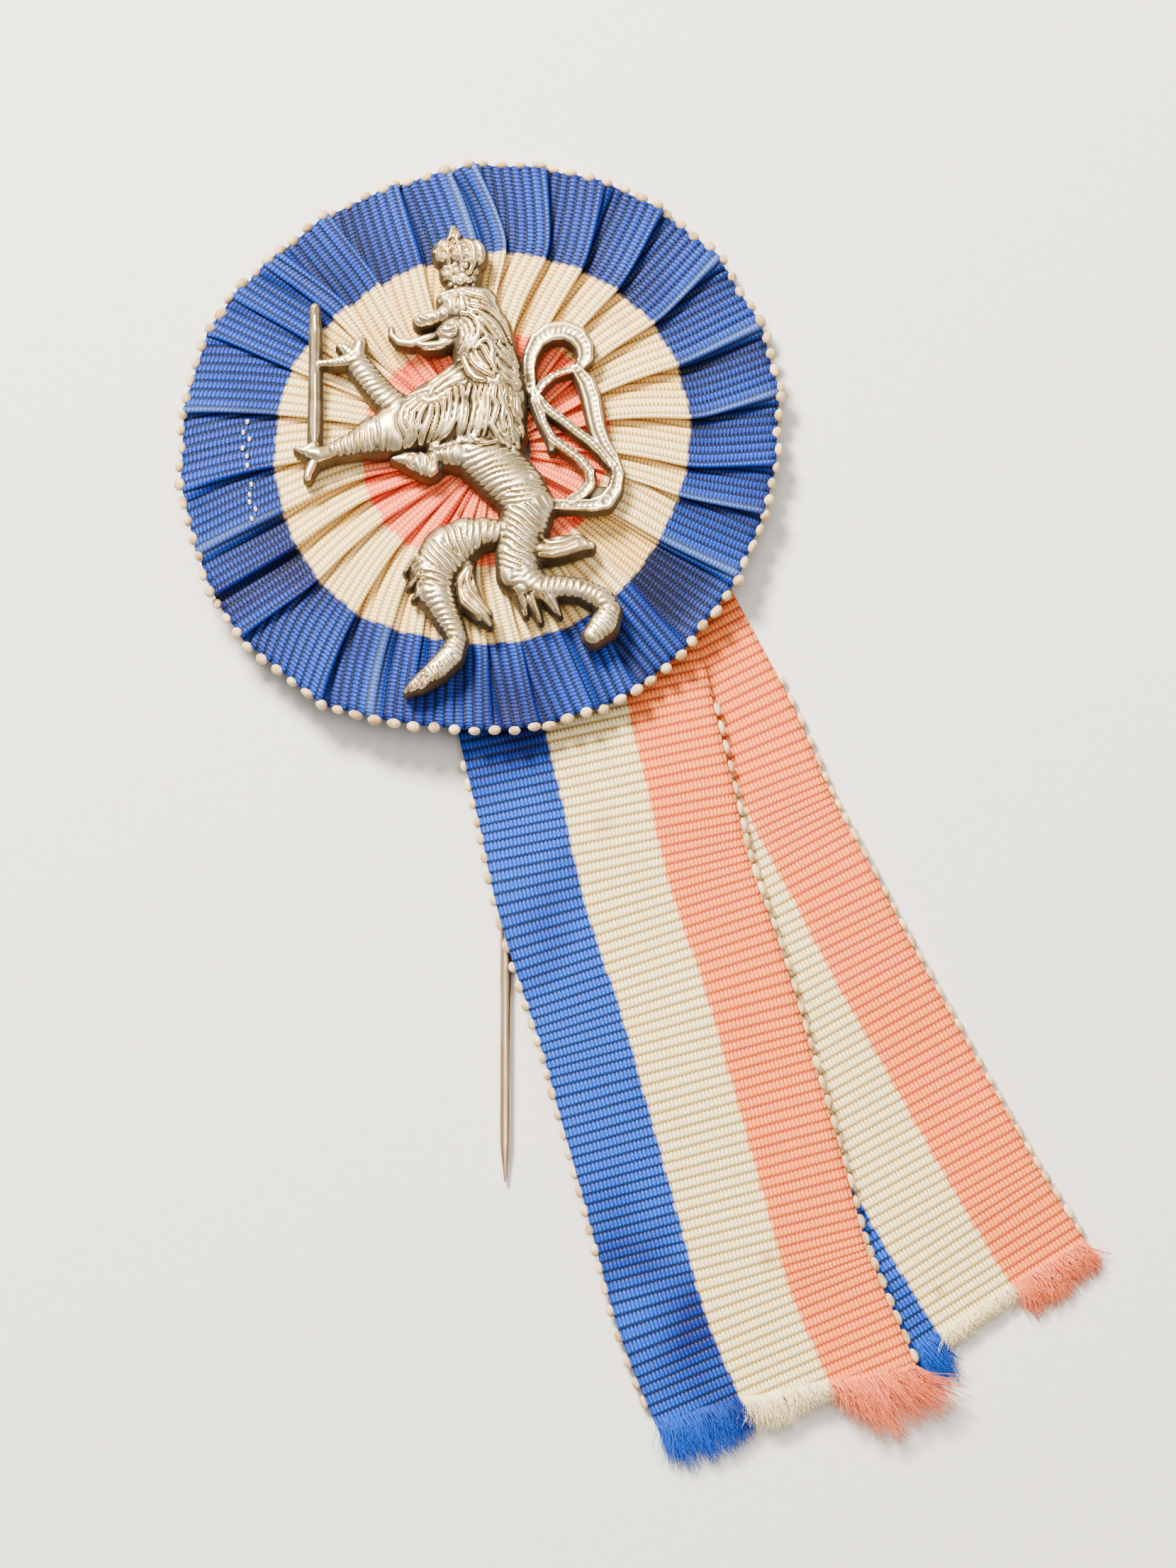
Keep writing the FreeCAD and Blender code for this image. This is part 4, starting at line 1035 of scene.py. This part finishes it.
def make_lion(finish):
    wide, high = (int(span / RELIEF_CELL) for span in LION_SPAN)
    x, y = np.meshgrid(*(low + np.arange(count + 1) * RELIEF_CELL for low, count in zip(LION_CORNER, (wide, high))))
    height, outside = lion_relief(x, y)
    inside = outside < 0
    hollow = blurred(height, inside, 4) - height + 0.5 * (blurred(height, inside, 10) - height)
    slope_y, slope_x = np.gradient(outside, RELIEF_CELL)
    steep = np.maximum(np.hypot(slope_x, slope_y), 0.3)
    near = np.abs(outside) < SNAP
    x, y = (np.where(near, at - outside * slope / steep ** 2, at) for at, slope in ((x, slope_x), (y, slope_y)))
    piece, column, row = grid_piece("lion_casting", wide, high)
    move_points(piece, np.stack([x[row, column], y[row, column], np.zeros(len(row))], axis=1))
    set_value(piece, "relief", height[row, column])
    set_value(piece, "hollow", hollow[row, column])
    delete_faces(piece, (outside > SNAP)[row, column])
    move_points(piece, metres(lion_placed(extrude_to_relief(piece, "relief"))))
    outward_faces(piece)
    smooth(piece, LION_SHARP)
    piece.data.materials.append(finish)
    socket = make_socket(finish)
    make_active(piece)
    socket.select_set(True)
    bpy.ops.object.join()
    return piece


def make_socket(finish):
    """The round socket on the lion's back that takes the pin's post."""
    sides = SOCKET_SIDES
    turn = np.arange(sides) * 2 * math.pi / sides
    ring = np.stack([np.cos(turn), np.sin(turn), np.zeros(sides)], axis=1)
    levels = [(SOCKET_RADIUS, 0.2), (SOCKET_RADIUS, -SOCKET_DEPTH), (SOCKET_BORE, -SOCKET_DEPTH), (SOCKET_BORE, 0.0)]
    points = np.concatenate([ring * (r, r, 0) + (PIN_X, 0, z) for r, z in levels])
    faces = tube_faces(range(0, 3 * sides, sides), sides) + [tuple(range(3 * sides, 4 * sides)), tuple(range(sides))]
    socket = from_arrays("socket", lion_placed(points), faces, finish)
    outward_faces(socket)
    smooth(socket, WIRE_SHARP)
    return socket


# Pin

def make_pin(finish):
    floor = SHANK_RADIUS
    top = base_height(0) + WALL + RISE_FULL
    turn = np.linspace(0, math.pi / 2, 9)
    bend = [(PIN_X, -PIN_BEND + PIN_BEND * math.cos(a), floor + PIN_BEND - PIN_BEND * math.sin(a)) for a in turn]
    run = [(SHANK_END, SHANK_RADIUS), (SHANK_END - SHOULDER, STEM_RADIUS), (STEM_END, STEM_RADIUS),
           (STEM_END - 1.4, 0.42), (POINT_END + 1.2, 0.23), (POINT_END + 0.05, POINT_RADIUS), (POINT_END, 0.05)]
    path = [(PIN_X, 0, top)] + bend + [(PIN_X, y, floor) for y, radius in run]
    radii = [SHANK_RADIUS] * (1 + len(bend)) + [radius for y, radius in run]
    points, faces = wires(np.array([path], float), np.array([radii]), WIRE_SIDES, np.array([1.0, 0.0, 0.0]))
    piece = from_arrays("pin_wire", points, faces, finish)
    outward_faces(piece)
    smooth(piece, WIRE_SHARP)
    return piece


# Finishes

def linear(colour):
    parts = [int(colour[k:k + 2], 16) / 255 for k in (1, 3, 5)]
    return [v / 12.92 if v <= 0.04045 else ((v + 0.055) / 1.055) ** 2.4 for v in parts] + [1.0]


def new_finish(name):
    finish = bpy.data.materials.new(name)
    finish.use_nodes = True
    return finish, finish.node_tree, finish.node_tree.nodes["Principled BSDF"]


def feed(tree, value, socket):
    """Sets a socket to a value, or links a node's first live output or a given output to it."""
    if isinstance(value, bpy.types.Node):
        value = next(output for output in value.outputs if output.enabled)
    if isinstance(value, bpy.types.NodeSocket):
        tree.links.new(value, socket)
    else:
        socket.default_value = value


def feed_all(tree, node, feeds):
    for key, value in feeds.items():
        feed(tree, value, node.inputs[key])


def add(tree, kind, feeds, **settings):
    node = tree.nodes.new("ShaderNode" + kind)
    for name, value in settings.items():
        setattr(node, name, value)
    feed_all(tree, node, feeds)
    return node


def maths(tree, how, *values):
    return add(tree, "Math", dict(enumerate(values)), operation=how)


def blend(tree, share, first, second, how="MIX"):
    """One colour over another by a share."""
    return add(tree, "Mix", {0: share, 6: first, 7: second}, data_type="RGBA", blend_type=how)


def step_up(tree, value, low, high, first=0.0, last=1.0):
    """The first value below low, the last above high; the other way round if low is the greater."""
    return add(tree, "MapRange", {0: value, 1: low, 2: high, 3: first, 4: last})


def clouds(tree, place, scale, detail, roughness=0.5):
    return add(tree, "TexNoise", {"Vector": place, "Scale": scale, "Detail": detail, "Roughness": roughness})


def bumps(tree, height, strength, distance):
    return add(tree, "Bump", {"Height": height, "Strength": strength, "Distance": distance})


def on_piece(tree):
    """Places in the piece's own frame."""
    return add(tree, "TexCoord", {}).outputs["Object"]


def point_value(tree, name):
    return add(tree, "Attribute", {}, attribute_name=name).outputs["Fac"]


def striped(tree, cream, coral, tints):
    """Three colours side by side across the ribbon."""
    blue_tint, cream_tint, coral_tint = (linear(tint) for tint in tints)
    return blend(tree, coral, blend(tree, cream, blue_tint, cream_tint), coral_tint)


# Blue, cream and coral on a rib's crest, as painted shade in its groove, and as a painted highlight on the lit side of
# the rib.
TAIL_TINTS = {"crest": ("#0046BC", "#FFE4A4", "#FF7C34"), "groove": ("#010826", "#9C7A3C", "#A83A0E"),
              "highlight_fleck": ("#4A86F0", "#FFFFEA", "#FFBC88")}
RUFFLE_TINTS = {"crest": ("#002E98", "#FFE09C", "#FF7A4C"), "groove": ("#000410", "#B08C4C", "#C8502E"),
                "highlight_fleck": ("#2E72F2", "#FFFDE8", "#FFB898")}
LOOSE_TINTS = {"crest": ("#0650C4", "#FFECBE", "#F47E50"), "groove": ("#02206E", "#CBB074", "#A8462A"),
               "highlight_fleck": ("#5C90EE", "#FFFFF0", "#FFBC98")}
# Painted shade in the pleats' folds, in blue, cream and coral.
FOLD_SHADE_TINTS = ("#101A4C", "#F2DEB4", "#ECA48E")


def ribbon_finish(name, edges, stains, tints):
    """Ribbed silk in three stripes: cord-like ribs, painted shade in the grooves, in the folds and in random patches on
    the blue, painted highlights on one side of the ribs, fine warp threads across them, worn pale crests.
    """
    finish, tree, shader = new_finish(name)
    weave = add(tree, "SeparateXYZ", {0: add(tree, "UVMap", {}, uv_map="Weave")})
    rib, across = weave.outputs[0], weave.outputs[1]

    # Stripes, whose edges wander from rib to rib
    number = maths(tree, "FLOOR", rib)
    chance = add(tree, "TexWhiteNoise", {"W": number}, noise_dimensions="1D")
    wander = maths(tree, "MULTIPLY_ADD", chance, 0.22, across)
    cream, coral = (step_up(tree, wander, edge - 0.02, edge + 0.32) for edge in edges)
    blueness = maths(tree, "SUBTRACT", 1.0, cream)
    crest, groove, light = (striped(tree, cream, coral, tints[part]) for part in ("crest", "groove", "highlight_fleck"))

    # Zigzag grooves in painted shade, with a mark between two warp threads and a painted highlight on one side of each
    # rib
    shifted = maths(tree, "MULTIPLY_ADD", chance, 0.4, maths(tree, "MULTIPLY", number, 0.5))
    thread = maths(tree, "MULTIPLY_ADD", across, 1 / THREAD, shifted)
    from_thread = maths(tree, "PINGPONG", thread, 0.5)
    zigzag = maths(tree, "MULTIPLY_ADD", from_thread, 0.4, rib)
    from_groove = maths(tree, "PINGPONG", maths(tree, "SUBTRACT", zigzag, 0.1), 0.5)
    mark = step_up(tree, from_thread, 0.2, 0.03)
    marked = maths(tree, "MULTIPLY", mark, step_up(tree, from_groove, 0.1, 0.42, 0.9, 0.06))
    sunk = maths(tree, "MAXIMUM", step_up(tree, from_groove, 0.24, 0.04), marked)
    # Painted shade: the groove colour darkens the grooves between ribs, and the thread marks take it too.
    colour = blend(tree, sunk, crest, groove)
    # Painted highlight: a lighter fleck on the lit side of each rib, between the thread marks.
    from_side = maths(tree, "ABSOLUTE", maths(tree, "SUBTRACT", maths(tree, "FRACT", rib), 0.72))
    highlight_fleck = maths(tree, "MULTIPLY", step_up(tree, from_side, 0.16, 0.04), step_up(tree, from_thread, 0.22, 0.42))
    colour = blend(tree, maths(tree, "MULTIPLY", highlight_fleck, 0.55), colour, light)

    # Fading, worn crests, stains, painted shade in random patches on the blue, and painted shade in the folds
    place = on_piece(tree)
    flat = add(tree, "VectorMath", {0: place, 1: (1, 1, 0)}, operation="MULTIPLY")
    cloudy = clouds(tree, flat, 160, 3.0)
    colour = blend(tree, step_up(tree, cloudy, 0.3, 0.7, 0.0, 0.1), colour, linear("#E8DCC4"), "SOFT_LIGHT")
    pale = maths(tree, "MULTIPLY", maths(tree, "MULTIPLY", point_value(tree, "worn"), blueness), 0.26)
    colour = blend(tree, pale, colour, linear("#7C9CCB"))
    for x, y, radius, tint, strength in stains:
        away = add(tree, "VectorMath", {0: flat, 1: tuple(metres((x, y, 0.0)))}, operation="DISTANCE")
        ragged = maths(tree, "MULTIPLY_ADD", cloudy, radius / 1000, away.outputs["Value"])
        stain = step_up(tree, ragged, radius * 1.5 / 1000, radius * 0.6 / 1000, 0.0, strength)
        colour = blend(tree, stain, colour, linear(tint), "MULTIPLY")
    # Painted shade: broad random darker patches on the blue, standing in for the deeper shadow of the folds.
    shade_patches = step_up(tree, clouds(tree, flat, 75, 2.0, 0.4), 0.45, 0.68, 0.0, 0.9)
    colour = blend(tree, maths(tree, "MULTIPLY", shade_patches, blueness), colour, linear("#32448C"), "MULTIPLY")
    # Painted shade: the colour darkens deep in the pleats' folds, where less light reaches.
    colour = blend(tree, point_value(tree, "fold_shade"), colour, striped(tree, cream, coral, FOLD_SHADE_TINTS), "MULTIPLY")

    relief = maths(tree, "MULTIPLY_ADD", mark, -1.0, clouds(tree, place, 6000, 2.0))
    feed_all(tree, shader, {
        "Base Color": colour, "Roughness": step_up(tree, cloudy, 0.3, 0.7, 0.44, 0.58), "Sheen Weight": 0.03,
        "Sheen Roughness": 0.4, "Specular IOR Level": 0.22, "Normal": bumps(tree, relief, 0.9, 0.00008)})
    return finish


def thread_finish(name, light, dark):
    """Twisted selvage thread: cream, browned with age here and there."""
    finish, tree, shader = new_finish(name)
    place = on_piece(tree)
    cloudy = clouds(tree, place, 700, 3.0)
    twist = add(tree, "TexWave", {"Vector": place, "Scale": 900, "Distortion": 1.0})
    feed_all(tree, shader, {
        "Base Color": blend(tree, step_up(tree, cloudy, 0.35, 0.65), linear(light), linear(dark)),
        "Roughness": step_up(tree, cloudy, 0.0, 1.0, 0.6, 0.8), "Normal": bumps(tree, twist, 0.5, 0.00004)})
    return finish


def cast_finish():
    """Aged cast white metal: bright rubbed ridges, brown-black tarnish in the hollows, a fine casting grain."""
    finish, tree, shader = new_finish("Cast white metal")
    place = on_piece(tree)
    cloudy = clouds(tree, place, 700, 5.0)
    grimy = maths(tree, "MULTIPLY_ADD", cloudy, 0.2, point_value(tree, "hollow"))
    tarnish = step_up(tree, grimy, 0.1, 0.27, 0.0, 0.9)
    tone = blend(tree, step_up(tree, cloudy, 0.35, 0.65), linear("#FFEAC2"), linear("#DCC08A"))
    feed_all(tree, shader, {
        "Base Color": blend(tree, tarnish, tone, linear("#33261A")), "Metallic": 1.0,
        "Roughness": step_up(tree, tarnish, 0.0, 1.0, 0.34, 0.7),
        "Normal": bumps(tree, clouds(tree, place, 5000, 3.0), 0.35, 0.00003)})
    return finish


def wire_finish():
    """Drawn steel wire, dulled and a little browned."""
    finish, tree, shader = new_finish("Drawn steel wire")
    drawn = add(tree, "Mapping", {"Vector": on_piece(tree), "Scale": (1.0, 0.06, 1.0)})
    streak = clouds(tree, drawn, 2600, 3.0)
    feed_all(tree, shader, {
        "Base Color": blend(tree, step_up(tree, streak, 0.35, 0.65), linear("#C4AE92"), linear("#94795C")),
        "Metallic": 1.0, "Roughness": step_up(tree, streak, 0.0, 1.0, 0.32, 0.5),
        "Normal": bumps(tree, streak, 0.3, 0.00002)})
    return finish


def floor_finish():
    """Plain pale card."""
    finish, tree, shader = new_finish("Pale card")
    grain = clouds(tree, on_piece(tree), 900, 2.0)
    feed_all(tree, shader, {"Base Color": blend(tree, grain, linear("#E4E0D8"), linear("#DAD5CB")), "Roughness": 0.9})
    return finish


# Stage, in metres

# Place, size, power and colour.
LIGHTS = {
    "key light": ((-0.24, 0.38, 0.42), 0.17, 19.0, (1.0, 0.95, 0.87)),
    "soft box": ((0.02, 0.06, 0.80), 0.5, 5.5, (1.0, 0.96, 0.9)),
    "fill light": ((0.5, -0.25, 0.5), 0.6, 1.2, (0.92, 0.96, 1.0)),
}
ROOM_COLOUR, ROOM_LIGHT = "#DCDEE2", 0.42
CAMERA_PLACE, CAMERA_TILT = (-0.0045885, -0.0959439, 0.4597294), 12
CAMERA_SENSOR, CAMERA_LENS = 36, 110.29


def set_stage():
    bpy.ops.object.select_all(action="DESELECT")
    bpy.ops.mesh.primitive_plane_add(size=3.0)
    floor = bpy.context.object
    floor.name = "floor"
    floor.data.materials.append(floor_finish())
    for name, (place, size, power, colour) in LIGHTS.items():
        bpy.ops.object.light_add(type="AREA", location=place)
        light = bpy.context.object
        light.name = name
        light.data.size, light.data.energy, light.data.color = size, power, colour
        light.rotation_euler = (-light.location).to_track_quat("-Z", "Y").to_euler()
    world = bpy.data.worlds.new("studio")
    world.use_nodes = True
    feed_all(world.node_tree, world.node_tree.nodes["Background"], {0: linear(ROOM_COLOUR), 1: ROOM_LIGHT})
    bpy.context.scene.world = world


def set_camera():
    bpy.ops.object.camera_add(location=CAMERA_PLACE, rotation=(math.radians(CAMERA_TILT), 0, 0))
    camera = bpy.context.object
    camera.data.sensor_fit, camera.data.sensor_height, camera.data.lens = "VERTICAL", CAMERA_SENSOR, CAMERA_LENS
    camera.data.clip_start = 0.01
    bpy.context.scene.camera = camera


def belongs(piece, slot, *nodes):
    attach(piece, ROOT)
    if nodes:
        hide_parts(*nodes)


def build():
    ruffle_silk = ribbon_finish("Ribbed silk, gathered", RUFFLE_STRIPES, RUFFLE_STAINS, RUFFLE_TINTS)
    front_silk = ribbon_finish("Ribbed silk, front tail", TAIL_STRIPES, FRONT_STAINS, TAIL_TINTS)
    back_silk = ribbon_finish("Ribbed silk, back tail", TAIL_STRIPES, BACK_STAINS, TAIL_TINTS)
    loose = ribbon_finish("Loose silk threads", TAIL_STRIPES, (), LOOSE_TINTS)
    loops = thread_finish("Cream selvage thread", "#EBCD98", "#A88150")
    ruffle, sheet = make_ruffle(ruffle_silk)
    rim_loops = make_rim_loops(sheet, loops)
    stitches = make_stitches(sheet, thread_finish("Cream sewing thread", "#F4E8CC", "#D8C49A"))
    front = make_tail("front_ribbon_tail", FRONT_LINE, FRONT_FRAY, 0.0, front_silk)
    front_fray = make_fray("front_fray", FRONT_LINE, FRONT_FRAY, 11, loose)
    front_loops = make_selvage("front_picots", FRONT_LINE, FRONT_FRAY, 14.0, loops)
    back = make_tail("back_ribbon_tail", BACK_LINE, BACK_FRAY, BACK_CORNER_CUT, back_silk)
    back_fray = make_fray("back_fray", BACK_LINE, BACK_FRAY, 12, loose)
    back_loops = make_selvage("back_picots", BACK_LINE, BACK_FRAY, 12.0, loops)
    lion = make_lion(cast_finish())
    pin = make_pin(wire_finish())
    belongs(ruffle, "rosette_ribbon", "rosette_ruffle")
    belongs(front, "front_ribbon", "tail_front")
    belongs(back, "back_ribbon", "tail_back")
    belongs(lion, "white_metal", "lion_emblem")
    belongs(pin, "pin_steel", "lapel_pin")
    for piece, slot in ((rim_loops, "rosette_ribbon"), (stitches, "rosette_ribbon"), (front_fray, "front_ribbon"),
                        (front_loops, "front_ribbon"), (back_fray, "back_ribbon"), (back_loops, "back_ribbon")):
        belongs(piece, slot)
    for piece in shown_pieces():
        print(piece.name, "triangles", sum(len(face.vertices) - 2 for face in piece.data.polygons))


build()
set_stage()
set_camera()
